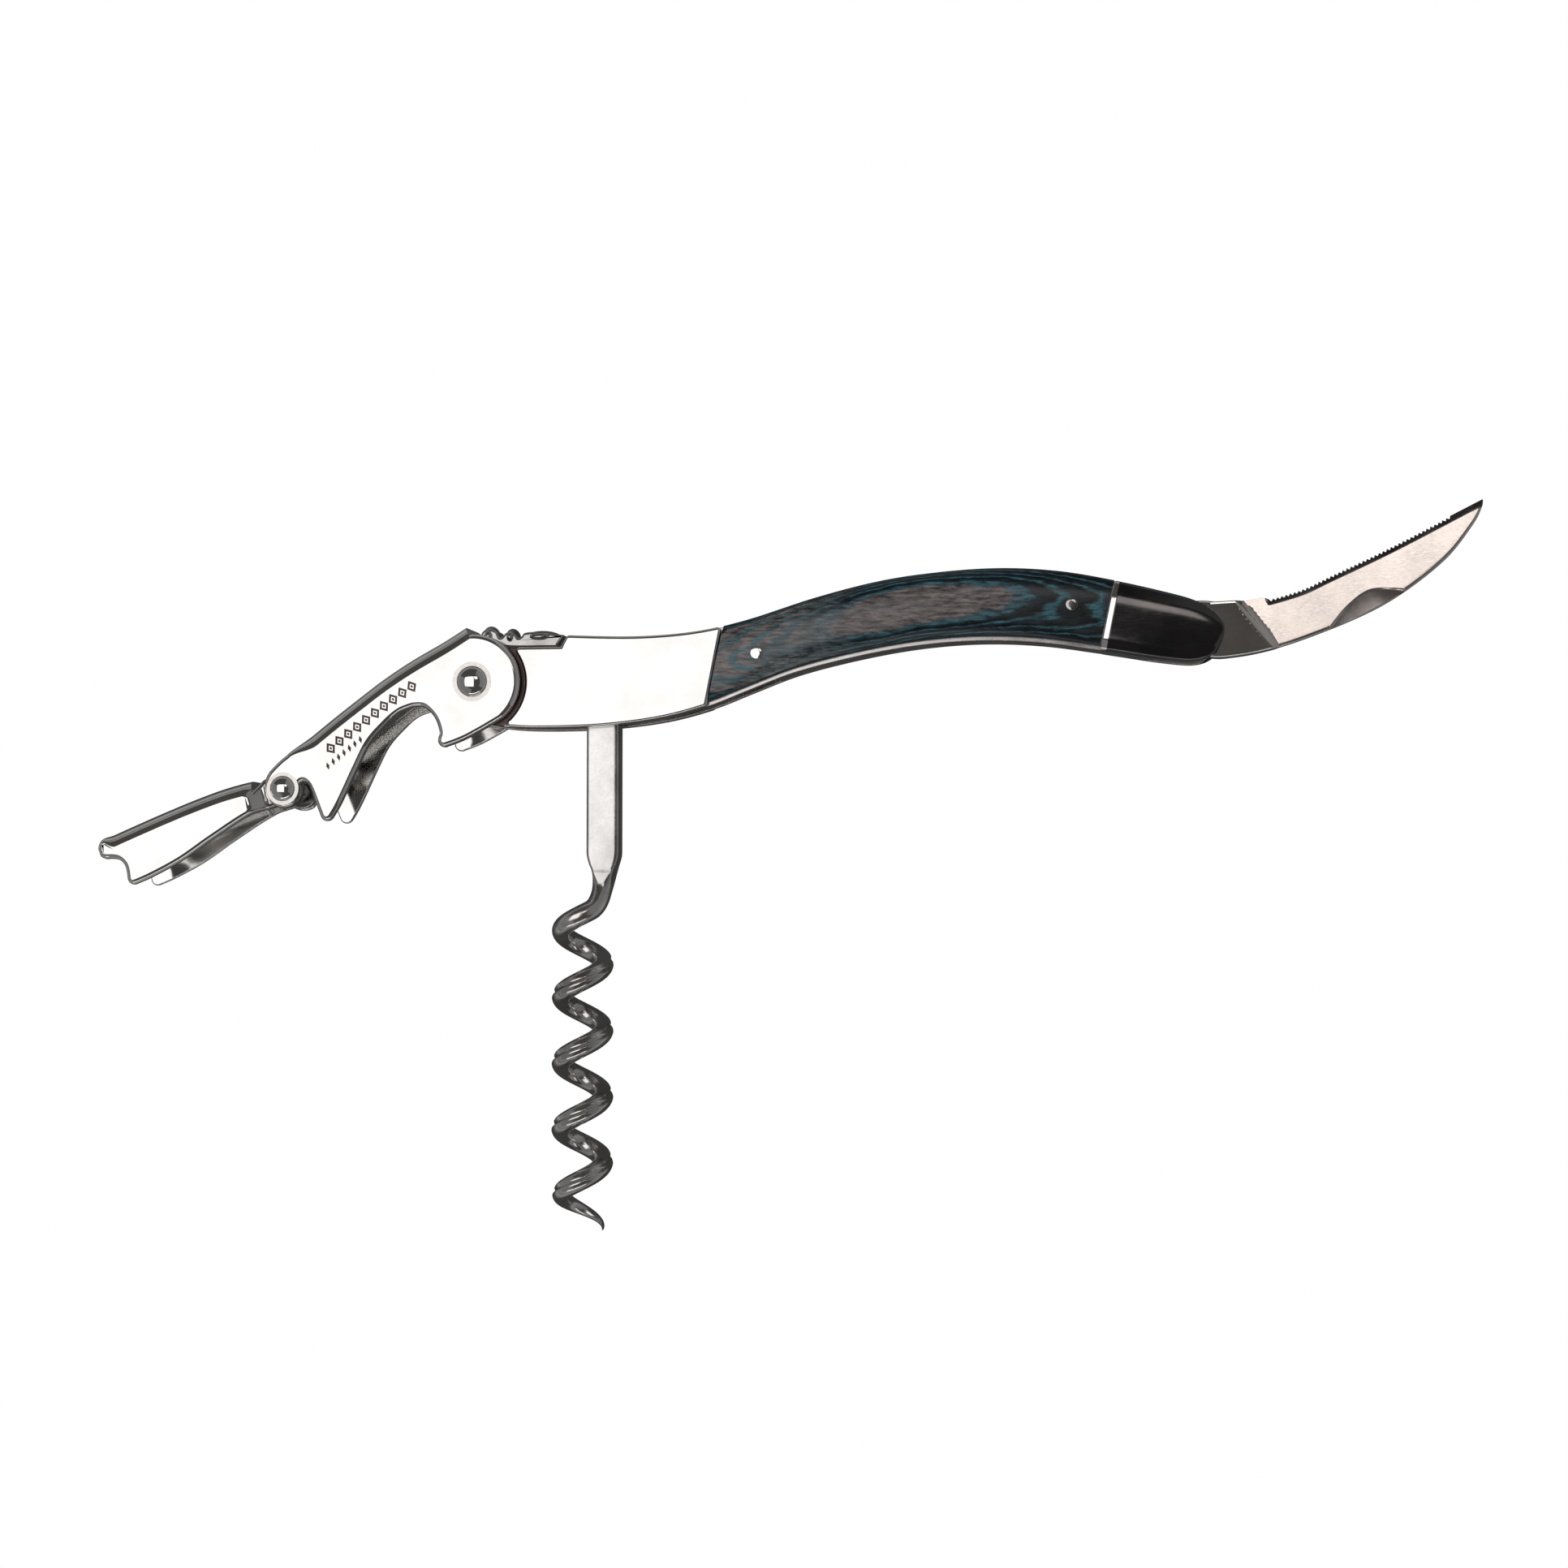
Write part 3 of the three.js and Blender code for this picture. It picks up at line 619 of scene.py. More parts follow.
# The relief round the lever's head takes the dark finish as painted shade, for the shade beside the lever's
# head.
def relief_in_painted_shade(x, y):
    return int(math.dist((x, y), LEVER_PIVOT) < RELIEF_RADIUS + 0.3)


for half in pair("front_cheek", bolster, STEEL, "handle", ["front_bolster"]):
    add_finishes(half, [ETCH_AND_PAINTED_SHADE], relief_in_painted_shade)

# Wooden scales, crowned, with rolled edges.
WOOD_EDGE = 4.25
WOOD_CROWN = 0.35
WOOD_SWELL = 1.4
WOOD_ROLL = 0.35
STEEL_REVEAL = 0.55


def spread(t):
    """Stations across a face, close together at both edges."""
    return 0.5 - 0.5 * math.cos(math.pi * t) * (1.15 - 0.15 * abs(math.cos(math.pi * t)))


def rolled(distance, radius):
    """How far a rolled edge drops at a distance in from the rim."""
    if distance >= radius:
        return 0.0
    return radius - math.sqrt(radius**2 - (radius - distance) ** 2)


def wood_face(s, t):
    """The face at a share of the way from the front joint and up from the lower edge."""
    t = spread(t)
    front = mix(FRONT_JOINT[0], FRONT_JOINT[1], t) + JOINT_GAP
    rear = mix(REAR_JOINT[0], REAR_JOINT[1], t) - JOINT_GAP
    x = mix(front, rear, s)
    low = bottom_at(x) + STEEL_REVEAL
    high = top_at(x)
    swell = WOOD_CROWN + WOOD_SWELL * math.sin(math.pi * min(1, 0.04 + s * 0.9)) ** 0.8
    z = WOOD_EDGE + swell * (1 - abs(2 * t - 1) ** 3)
    z -= rolled(min(t, 1 - t) * (high - low), WOOD_ROLL)
    return x, mix(low, high, t), z


scale = crowned(wood_face, 150, 40, BOLSTER[0])
pair("wood_scale_face", scale, WOOD, "handle", ["wood_scale"])

# Rear bolsters: crowned caps down to the nose, with a chamfer at the joint.
CHAMFER = 0.7
CHAMFER_SLOPE = 0.16
CAP_EDGE = 3.95
CAP_CROWN = 0.3
CAP_SWELL = 0.75
CAP_ROLL = 0.3


def rear_face(s, t):
    """The face at a share of the way from the joint to the nose and up from the lower edge."""
    t = spread(t)
    start = mix(REAR_JOINT[0], REAR_JOINT[1], t) + JOINT_GAP
    s = s**1.6
    x = mix(start, NOSE_X, math.sin(s * math.pi / 2))
    low = bottom_at(x)
    high = top_at(x)
    crown = CAP_CROWN + CAP_SWELL * math.cos(s * math.pi / 2)
    z = CAP_EDGE + crown * (1 - abs(2 * t - 1) ** 4)
    z -= max(0, CHAMFER - (x - start)) * CHAMFER_SLOPE
    z -= rolled(min(t, 1 - t) * (high - low), CAP_ROLL)
    return x, mix(low, high, t), z


def on_chamfer(x, y):
    up_the_joint = (y - bottom_at(x)) / (top_at(x) - bottom_at(x))
    return int(x - mix(REAR_JOINT[0], REAR_JOINT[1], up_the_joint) < CHAMFER)


cap = crowned(rear_face, 70, 40, BOLSTER[0])
for half in pair("rear_cap", cap, SMOKE, "handle", ["rear_bolster"]):
    add_finishes(half, [STEEL], on_chamfer)

# Springs between the liners.
BACK_START = 45
BACK_END = 99.4
BACK_DEPTH = 1.9
TONGUE_START = 0.9
TONGUE_END = 50
TONGUE_UNDER = 3.9  # height of the tongue's lower face
TONGUE_DEPTH = 2.4


def between_liners(outline):
    return rounded_plate(outline, -SPRING_HALF, SPRING_HALF, 0.15, 0.15, 2)


back = along(BACK_START, BACK_END, 60, bottom_at)
back += along(BACK_END, BACK_START, 60, lambda x: bottom_at(x) + BACK_DEPTH)
piece("back_spring_bar", between_liners(back), BRUSHED, "handle", ["back_spring"])
tongue_root = (RECESS_END + 1.4, TONGUE_UNDER)
tongue = [(TONGUE_START, TONGUE_UNDER), tongue_root]
tongue += through([tongue_root, (22, 3.6), (32, 4.0), (37.8, 2.2), (42.4, 1.6), (47, 3.6)])[1:]
tongue += [(TONGUE_END, top_at(TONGUE_END) - TONGUE_DEPTH)]
tongue += along(TONGUE_END, RECESS_TOP, 50, top_at)
tongue += [*RECESS_CORNER, (TONGUE_START, RECESS_FLOOR)]
piece("top_spring_bar", between_liners(tongue), BRUSHED, "handle", ["top_spring"])

# The tongue's thumb rest: a lobed plate with a rounded pillow through each lobe.
REST_HALF = 2.55
REST_RIM = 0.45
BASE = RECESS_FLOOR + 0.05
PILLOWS = ((1.6, 7.0, 1.25, 1.75), (4.9, 6.9, 1.0, 1.45), (9.4, 6.9, 2.9, 1.05))
PILLOW_HALF = 3.0
PILLOW_STEPS = 12
PILLOW_SIDES = 28


def pillow(x, y, wide, tall):
    """An ellipsoid across the rest: its place and its half-sizes along X and Y."""
    rings = []
    for k in range(1, PILLOW_STEPS):
        a = math.pi * k / PILLOW_STEPS
        ring = []
        for n in range(PILLOW_SIDES):
            b = 2 * math.pi * n / PILLOW_SIDES
            up = y + tall * math.sin(a) * math.cos(b)
            ring.append((x - wide * math.cos(a), up, PILLOW_HALF * math.sin(a) * math.sin(b)))
        rings.append(ring)
    return lofted(rings)


rest = [(0.3, BASE), (12.0, BASE)]
rest += through([(12.0, BASE), (12.4, 5.9), (12.9, 6.6), (13.0, 7.1), (12.4, 7.2)])
rest += through([
    (12.4, 7.2), (9.6, 7.6), (7.2, 7.55), (6.6, 7.0), (6.1, 6.8), (5.7, 7.3), (4.9, 7.7), (4.1, 7.5),
])
rest += through([(4.1, 7.5), (3.6, 6.9), (3.2, 7.0), (2.8, 7.8), (1.7, 8.2), (0.7, 7.8), (0.2, 6.8)])
lobes = rounded_plate(rest, -REST_HALF, REST_HALF, REST_RIM, REST_RIM, 5)
bosses = [pillow(*spot) for spot in PILLOWS]
piece("thumb_rest", joined(lobes, *bosses), DARK_CHROME_AND_PAINTED_SHADE, "handle", ["spring_ornament"])

# Pins and rivets.
PIN_EDGE = 0.08
RIVET_FACE = 6.22
CENTRE_HOLE = 0.02  # a turned profile stops this far from its axis


def pin(centre, radius, low, high):
    """A pin whose upper end is rounded over and a little proud in the middle."""
    return turned(centre, [
        (radius - PIN_EDGE, low), (radius, low + PIN_EDGE), (radius, high - PIN_EDGE),
        (radius - PIN_EDGE * 0.3, high - PIN_EDGE * 0.3), (radius - PIN_EDGE, high),
        (radius * 0.5, high + 0.01), (CENTRE_HOLE, high + 0.015),
    ])


def dome(centre, shaft, radius, base, height):
    """One half of a rivet with a domed head."""
    profile = [(shaft, 0), (shaft, base), (radius, base)]
    for k in range(1, 14):
        a = math.pi / 2 * k / 13
        profile.append((max(CENTRE_HOLE, radius * math.cos(a)), base + height * math.sin(a)))
    return turned(centre, profile, 64)


def halo(centre, inner, outer, face):
    """A shallow ring pressed into the plate round a rivet; its pale warm finish is a painted reflection."""
    return turned(centre, [
        (inner, face - 0.1), (outer, face - 0.1), (outer, face + 0.004),
        (mix(inner, outer, 0.55), face + 0.018), (inner, face + 0.05),
    ], 64, True)


lever_domes = both(dome(LEVER_PIVOT, 1.8, 2.3, RIVET_FACE, 1.2))
piece("lever_rivet_domes", lever_domes, STEEL, "lever_pivot", ["lever_rivet"])
arm_domes = both(dome(ARM_PIVOT, 1.2, 1.9, RIVET_FACE, 1.1))
piece("arm_rivet_domes", arm_domes, STEEL, "lever", ["second_arm_rivet"])
# Rings round the rivets, their pale warm finish a painted reflection.
piece("lever_rivet_rings", both(halo(LEVER_PIVOT, 2.2, 2.95, PLATE[1])), RING_PAINTED_REFLECTION, "lever", [])
piece("arm_rivet_rings", both(halo(ARM_PIVOT, 1.8, 2.45, PLATE[1])), RING_PAINTED_REFLECTION, "lever", [])
worm_pin_face = BOLSTER[1] + 0.03
worm_pin_end = turned(WORM_PIVOT, [(1.4, 0), (1.4, worm_pin_face), (CENTRE_HOLE, worm_pin_face)])
piece("worm_pin_ends", both(worm_pin_end), STEEL, "handle", ["worm_pin"])
front_pin_ends = both(pin(FRONT_PIN, 0.9, 0, 5.53))
piece("front_pin_ends", front_pin_ends, STEEL, "handle", ["front_scale_pin"])
pair("rear_pin_end", pin(REAR_PIN, 0.9, 2.1, 5.72), DARK_CHROME_AND_PAINTED_SHADE, "handle", ["rear_scale_pin"])

# ---- the lever's first stage ----
LEVER_CORNER = (-1.4, 8.2)
LEVER_SPINE = [
    (-4.8, 6.1), (-9.6, 3.4), (-13.8, 0.7), (-18.0, -2.4), (-22.8, -6.1), (-28.8, -11.0), (-31.0, -13.1),
]
SHEET = PLATE[1] - PLATE[0]
RIM = 0.85
PLATE_RIM = 0.25
BEND = 2.5
TIGHT_BEND = RIM + 0.02
FOLD_END = -28.4


def tightening(line, start, length):
    """The bend at each point of a line, drawn tight over a length in X beyond the start."""
    return [mix(BEND, TIGHT_BEND, ease((start - x) / length)) for x, y in line]


spine = through([LEVER_CORNER, *LEVER_SPINE], 16)
bends = tightening(spine, -24.6, 3.7)
covered = [d - RIM for d in bends]
tucked = [p for p, q in zip(shifted(spine, covered), spine) if q[0] > FOLD_END + 0.3]
bare = [p for p in spine if p[0] < FOLD_END - 0.6]
side = tucked[2:] + bare[:-1]
side += through([(-31.0, -13.1), (-31.7, -14.6), (-31.5, -16.6)])[:-1]
side += arc(ARM_PIVOT, 2.9, 200, 310)
side += through([
    (-26.9, -17.4), (-26.7, -16.4), (-26.6, -15.4), (-25.9, -14.7), (-25.1, -15.1), (-24.4, -16.5),
])[1:]
side += [(-22.35, -21.75)]
side += through([
    (-22.1, -21.4), (-20.1, -18.3), (-17.3, -12.4), (-15.5, -8.9), (-13.2, -6.3), (-11.1, -4.5),
    (-9.0, -3.7),
])[2:]
side += through([(-9.0, -3.7), (-7.3, -3.8), (-5.8, -5.3), (-5.05, -7.4), (-5.3, -8.5), (-5.55, -10.25)])[1:]
side += through([(-5.4, -10.1), (-1.8, -8.9), (1.2, -7.4), (4.4, -5.57)])[1:]
side += arc(LEVER_PIVOT, LEVER_HEAD_RADIUS, -51.7, 95, 40)[1:]

cheeks = both(rounded_plate(side, *PLATE, PLATE_RIM, RIM, 5))
fold_line = [p for p in spine if p[0] > FOLD_END]
lever = joined(cheeks, folded(fold_line, bends, PLATE[1], SHEET))
piece("lever_channel", lever, STEEL, "lever", ["lever"])

# A fine etched border of lozenges along each cheek of the lever.
MARK_FACE = PLATE[1] + 0.02


def lozenge(x, y, turn, long, wide, thick):
    """A flat diamond-shaped ring; thick is the share of its half-size that is filled."""
    points = []
    for share in (1, 1 - thick):
        for cx, cy in ((long * share, 0), (0, wide * share), (-long * share, 0), (0, -wide * share)):
            across = x + cx * math.cos(turn) - cy * math.sin(turn)
            points.append((across, y + cx * math.sin(turn) + cy * math.cos(turn), MARK_FACE))
    return points, [(k, (k + 1) % 4, 4 + (k + 1) % 4, 4 + k) for k in range(4)]


def evenly(line, spacing):
    """Points at even distances along a line, with the line's direction at each."""
    marks_along = measured(line)
    count = int(marks_along[-1] / spacing)
    found = []
    for k in range(1, count):
        x0, y0 = at_distance(line, marks_along, (k - 0.2) * spacing)
        x1, y1 = at_distance(line, marks_along, (k + 0.2) * spacing)
        found.append(((x0 + x1) / 2, (y0 + y1) / 2, math.atan2(y1 - y0, x1 - x0)))
    return found


def row_below(first, last, distance):
    """The part of the lever's spine between two places in X, moved down the cheek."""
    return shifted([p for p in spine if first < p[0] < last], distance)


marks = []
for x, y, turn in evenly(row_below(-25.2, -9.4, 3.7), 1.7):
    marks.append(lozenge(x, y, turn, 0.80, 1.0, 0.50))
    marks.append(lozenge(x, y, turn, 0.20, 0.26, 0.95))
for x, y, turn in evenly(row_below(-26.6, -19.4, 5.5), 1.05):
    marks.append(lozenge(x, y, turn + 1.2, 0.60, 0.26, 0.95))
piece("lever_border", both(joined(*marks)), ETCH_AND_PAINTED_SHADE, "lever", [])

# ---- the lever's second stage ----
ARM_SPINE = [(-38.3, -15.6), (-42.6, -17.1), (-46.9, -18.8), (-51.2, -20.6), (-55.6, -22.5)]
JOGGLE_START = -35.4
JOGGLE_END = -31.6
JOGGLE_SLANT = 0.3
JOGGLE_CUTS = 8


def beside_joggle(x, y):
    """X carried along the joggle's slant to the height of the arm's pivot."""
    return x + JOGGLE_SLANT * (y - ARM_PIVOT[1])


def joggled(shape):
    """The arm with its lugs pressed in, so that they fit inside the lever's cheeks."""
    points, faces = shape
    sheet = bmesh.new()
    made = [sheet.verts.new(p) for p in points]
    for face in faces:
        sheet.faces.new([made[k] for k in face])
    for k in range(JOGGLE_CUTS + 1):
        place = (mix(JOGGLE_START, JOGGLE_END, k / JOGGLE_CUTS), ARM_PIVOT[1], 0)
        everything = sheet.verts[:] + sheet.edges[:] + sheet.faces[:]
        slant = (1, JOGGLE_SLANT, 0)
        bmesh.ops.bisect_plane(sheet, geom=everything, plane_co=place, plane_no=slant, dist=1e-5)
    for vertex in sheet.verts:
        past = beside_joggle(vertex.co.x, vertex.co.y) - JOGGLE_START
        drop = (PLATE[1] - ARM_LUG[1]) * ease(past / (JOGGLE_END - JOGGLE_START))
        vertex.co.z -= math.copysign(drop * min(1, abs(vertex.co.z) / PLATE[0]), vertex.co.z)
    sheet.verts.index_update()
    pressed = [tuple(v.co) for v in sheet.verts], [tuple(v.index for v in f.verts) for f in sheet.faces]
    sheet.free()
    return pressed


# The lugs past the joggle take the dark chrome as painted shade, where the lever's cheeks shade them.
def lug_in_painted_shade(x, y):
    return int(beside_joggle(x, y) > JOGGLE_END - 0.6)


arm_line = through([(-34.2, -14.5), *ARM_SPINE, (-56.9, -23.2), (-57.4, -24.0), (-57.5, -24.8)], 8)
arm_bends = tightening(arm_line, -55.4, 1.6)
arm = shifted(arm_line, [d - RIM for d in arm_bends])[:-4]
arm += through([(-57.3, -25.2), (-57.0, -25.8), (-56.2, -26.15)])
arm += through([
    (-56.2, -26.15), (-55.2, -26.1), (-54.1, -26.3), (-53.3, -27.1), (-52.95, -28.4), (-52.75, -30.25),
])[1:]
arm += through([
    (-52.0, -30.1), (-48.9, -28.8), (-44.4, -26.4), (-39.7, -23.2), (-34.0, -19.6), (-31.0, -18.6),
])
arm += arc(ARM_PIVOT, 2.7, 250, 482, 30)
arm += [(-32.4, -14.3)]
arm_plates = both(rounded_plate(arm, *PLATE, PLATE_RIM, RIM, 5))
arm_shape = joggled(joined(arm_plates, folded(arm_line, arm_bends, PLATE[1], SHEET)))
second_arm = piece("second_arm_channel", arm_shape, STEEL, "second_arm", ["second_arm"])
# Painted shade: the lugs are darkened where the lever's cheeks shade them.
add_finishes(second_arm, [DARK_CHROME_AND_PAINTED_SHADE], lug_in_painted_shade)

# The torsion spring round the arm's rivet: a close coil with one bent leg.
SPRING_WIRE = 0.26
SPRING_SIDES = 10
COIL_RADIUS = 1.45
COIL_HALF = 2.0
COIL_STEPS = 240
STEPS_A_TURN = 30
LEG_Z = 2.3


def wire(path):
    rings = []
    for i, here in enumerate(path):
        run = direction(path, i)
        side_way = run.cross(Vector((0.13, 0.21, 1))).normalized()
        up_way = side_way.cross(run)
        rings.append([
            tuple(here + (side_way * math.cos(a) + up_way * math.sin(a)) * SPRING_WIRE)
            for a in (2 * math.pi * k / SPRING_SIDES for k in range(SPRING_SIDES))
        ])
    return lofted(rings)


coil = []
for k in range(COIL_STEPS + 1):
    a = 2 * math.pi * k / STEPS_A_TURN + 0.6
    x = ARM_PIVOT[0] + COIL_RADIUS * math.cos(a)
    y = ARM_PIVOT[1] + COIL_RADIUS * math.sin(a)
    coil.append(Vector((x, y, mix(-COIL_HALF, COIL_HALF, k / COIL_STEPS))))
leg_line = through([(-27.9, -17.0), (-27.3, -16.9), (-26.8, -16.7), (-26.5, -16.5)])
leg = [Vector((x, y, LEG_Z)) for x, y in leg_line]
spring = joined(wire(coil), wire(leg))
piece("arm_torsion_spring", spring, DARK_CHROME_AND_PAINTED_SHADE, "lever", ["second_arm_spring"])

# ---- the worm ----
HELIX_RADIUS = 3.1
HELIX_AXIS_X = 15.6
HELIX_TOP_Y = -32.3
HELIX_PITCH = 9.76
HELIX_TURNS = 5
WIRE_RADIUS = 1.5
WIRE_SIDES = 44
SHANK_X = 18.83
SHANK_SIZE = (2.48, 1.85)
SHANK_POWER = 0.24  # of the cosine and sine: 1 is round, 0 is square
SHANK_STEPS = 60
NECK_Y = -27.2
NECK_END = -28.6
NECK_STEPS = 30
JOIN_TURN = 0.32 * math.pi
TURN_STEPS = 460
TAPER_START = 4.25
POINT_SHARE = 0.07
GROOVE_START = 0.75
GROOVE_END = 4.72
GROOVE_DEPTH = 0.30
GROOVE_ANGLE = 0.35
GROOVE_WIDTH = 0.30
X_WAY = Vector((1, 0, 0))


def helix(turn):
    y = HELIX_TOP_Y - HELIX_PITCH * turn / (2 * math.pi)
    return Vector((HELIX_AXIS_X + HELIX_RADIUS * math.cos(turn), y, HELIX_RADIUS * math.sin(turn)))


def from_axis(here):
    return Vector((here.x - HELIX_AXIS_X, 0, here.z)).normalized()


def worm_line():
    """Places down the shank and through the neck, then round the helix, and the turns made at each."""
    places = []
    for k in range(SHANK_STEPS + 1):
        places.append(Vector((SHANK_X, mix(WORM_PIVOT[1], NECK_Y, k / SHANK_STEPS), 0)))
    start = places[-1]
    start_run = Vector((0, -6.0, 0))
    end = helix(JOIN_TURN)
    end_run = (helix(JOIN_TURN + 0.01) - helix(JOIN_TURN - 0.01)).normalized() * 6.5
    for k in range(1, NECK_STEPS):
        t = k / NECK_STEPS
        spot = start * (2 * t**3 - 3 * t**2 + 1) + start_run * (t**3 - 2 * t**2 + t)
        places.append(spot + (end * (3 * t**2 - 2 * t**3) + end_run * (t**3 - t**2)))
    made = [0.0] * len(places)
    for k in range(TURN_STEPS + 1):
        turn = mix(JOIN_TURN, HELIX_TURNS * 2 * math.pi, k / TURN_STEPS)
        places.append(helix(turn))
        made.append(turn / (2 * math.pi))
    return places, made


def worm_ring(i):
    """The section at a place: a rounded square on the shank, and a grooved circle on the helix."""
    here = WORM_PLACES[i]
    turns = WORM_TURNS[i]
    run = direction(WORM_PLACES, i)
    toward = from_axis(here)
    if turns == 0:
        late = ease((NECK_END - here.y) / 4.5) if i > SHANK_STEPS else 0
        toward = X_WAY.lerp(toward, late)
    side_way = run.cross(toward).normalized()
    outward = side_way.cross(run).normalized()
    rounded = ease((NECK_END - here.y) / 2.6)
    wide = mix(SHANK_SIZE[0], WIRE_RADIUS, ease((NECK_Y + 2.0 - here.y) / 4.2))
    deep = mix(SHANK_SIZE[1], WIRE_RADIUS, rounded)
    power = mix(SHANK_POWER, 1.0, rounded)
    taper = 1.0
    if turns >= TAPER_START:
        gone = (turns - TAPER_START) / (HELIX_TURNS - TAPER_START)
        taper = mix(1.0, POINT_SHARE, gone**1.7)
    groove = GROOVE_DEPTH * ease((turns - GROOVE_START) / 0.35) * ease((GROOVE_END - turns) / 0.3)
    ring = []
    for k in range(WIRE_SIDES):
        a = 2 * math.pi * k / WIRE_SIDES
        c = math.copysign(abs(math.cos(a)) ** power, math.cos(a))
        s = math.copysign(abs(math.sin(a)) ** power, math.sin(a))
        off = math.atan2(math.sin(a - GROOVE_ANGLE), math.cos(a - GROOVE_ANGLE))
        dent = 1 - groove * math.exp(-((off / GROOVE_WIDTH) ** 4))
        ring.append(tuple(here + (outward * c * wide + side_way * s * deep) * taper * dent))
    return ring


WORM_PLACES, WORM_TURNS = worm_line()
screw = lofted([worm_ring(i) for i in range(len(WORM_PLACES))])
worm_disc = rounded_plate(arc(WORM_PIVOT, 2.75, 0, 350, 35), -SHANK_SIZE[1], SHANK_SIZE[1], 0.2, 0.2)
worm = piece("worm_screw", joined(screw, worm_disc), SHANK, "worm", ["worm"])
worm.modifiers.remove(worm.modifiers["normals"])

# ---- the blade ----
TIP = (147.4, 25.3)
HEEL = (116.8, 11.2)
BLADE_SPINE = through([
    (108.4, 2.75), (110.4, 2.7), (115.2, 3.4), (121.0, 5.0), (129.7, 8.4), (135.9, 11.8), (142.1, 16.7),
    (145.9, 21.5), (147.2, 24.0), TIP,
], 12)
BLADE_EDGE = [(108.4, 10.8), (113.4, 11.05), (116.0, 11.5), HEEL]
BLADE_EDGE += through([HEEL, (121.5, 12.6), (125.6, 14.5), (133.9, 18.4), (142.7, 22.9)], 12)[1:] + [TIP]
STATIONS = 420
TEETH = 45
TEETH_DEPTH = 0.42
TANG_HALF = 1.65
TANG_INSET = 0.04
TANG_ROLL = 0.25
SPINE_ROLL = 0.42
# Half the leaf's thickness at the edge, what the grind adds to it and over how much of the width.
EDGE_HALF = 0.28
GRIND_RISE = 0.60
GRIND_WIDTH = 8.6
THINNEST_HALF = 0.04
EDGE_ZONE = 0.95
BEVEL = 0.80
BEVEL_SLOPE = 0.28
# The slanting step down from the tang to the leaf.
PLUNGE_X = 117.0
PLUNGE_Y = 4.4
PLUNGE_SLANT = 0.78
PLUNGE_RUN = 1.3
# Places across the blade: shares of its width from the spine, then distances in from the edge.
FROM_SPINE = [0, 0.004, 0.012, 0.024, 0.04, 0.06, 0.09, 0.15, 0.22, 0.3, 0.4, 0.5, 0.6, 0.7, 0.8, 0.9, 1]
FROM_EDGE = [0.78, 0.62, 0.45, 0.30, 0.15, 0]

spine_marks = measured(BLADE_SPINE)
edge_marks = measured(BLADE_EDGE)
SERRATED = (math.dist(BLADE_EDGE[0], HEEL) + 0.1, edge_marks[-2])


def beside_plunge(x, y):
    """X carried along the plunge's slant to the spine."""
    return x + PLUNGE_SLANT * (y - PLUNGE_Y)


def tooth(gone):
    """How deep the serration bites at a distance along the edge."""
    if not SERRATED[0] < gone < SERRATED[1]:
        return 0.0
    phase = (gone - SERRATED[0]) / (SERRATED[1] - SERRATED[0]) * TEETH
    return TEETH_DEPTH * (1 - abs(2 * (phase % 1) - 1)) ** 0.8


def blade_ring(s):
    """The section at a share of the way to the tip, from the spine to the edge and back."""
    on_spine = at_distance(BLADE_SPINE, spine_marks, s * spine_marks[-1])
    gone = s * edge_marks[-1]
    on_edge = at_distance(BLADE_EDGE, edge_marks, gone)
    width = math.dist(on_spine, on_edge)
    zone = min(EDGE_ZONE, width * 0.45)
    bite = tooth(gone)
    distances = [t * (width - zone) for t in FROM_SPINE]
    distances += [width - bite - (zone - bite) * d / EDGE_ZONE for d in FROM_EDGE]
    sharpened = ease((gone - SERRATED[0] + 0.6) / 0.8)
    left = []
    for distance in distances:
        t = distance / max(width, 1e-6)
        x = mix(on_spine[0], on_edge[0], t)
        y = mix(on_spine[1], on_edge[1], t)
        to_edge = max(0, width - distance)
        ground = EDGE_HALF + GRIND_RISE * min(1, to_edge / GRIND_WIDTH)
        ground -= sharpened * BEVEL_SLOPE * max(0, BEVEL - to_edge)
        tang = TANG_HALF - rolled(to_edge, TANG_ROLL)
        rim = rolled(distance, min(SPINE_ROLL, width * 0.3))
        plunge = ease((beside_plunge(x, y) - PLUNGE_X) / PLUNGE_RUN)
        left.append((x, y, max(THINNEST_HALF, mix(tang, ground, plunge) - rim)))
    return left + [(x, y, -z) for x, y, z in left[::-1]]


leaf = lofted([blade_ring(i / STATIONS) for i in range(STATIONS)])
blade = piece("foil_blade", leaf, SATIN, "blade", ["blade"])
tang_line = [(111.2, 10.6)]
tang_line += through([(109.3, 10.8), (107.6, 11.0), (106.2, 11.0)])
tang_line += arc(BLADE_PIVOT, 4.0, 70, 290, 30)
tang_line += through([(107.4, 3.0), (109.4, 2.8), (111.2, 3.1)])
tang = rounded_plate(tang_line, TANG_INSET - TANG_HALF, TANG_HALF - TANG_INSET, TANG_ROLL, TANG_ROLL)
piece("blade_tang", tang, STEEL, "blade", [])

# The nail nick, cut into the near face with a floor that rises towards the spine.
NICK = through([(125.5, 7.2), (127.6, 9.8), (130.1, 11.9), (132.2, 12.6), (135.9, 12.5)], 8)
NICK_SHALLOW_START = (124.9, 4.6)
NICK_SHALLOW_END = (137.6, 11.4)
NICK_FLOOR = (0.12, 0.92)
NICK_TOP = 3


def nick_face(s, t):
    """The nick's floor at a share of the way along it and across it from its deep side."""
    place = s * (len(NICK) - 1)
    k = min(len(NICK) - 2, int(place))
    deep = [mix(a, b, place - k) for a, b in zip(NICK[k], NICK[k + 1])]
    shallow = [mix(a, b, s) for a, b in zip(NICK_SHALLOW_START, NICK_SHALLOW_END)]
    return mix(deep[0], shallow[0], t), mix(deep[1], shallow[1], t), mix(*NICK_FLOOR, t**0.8)


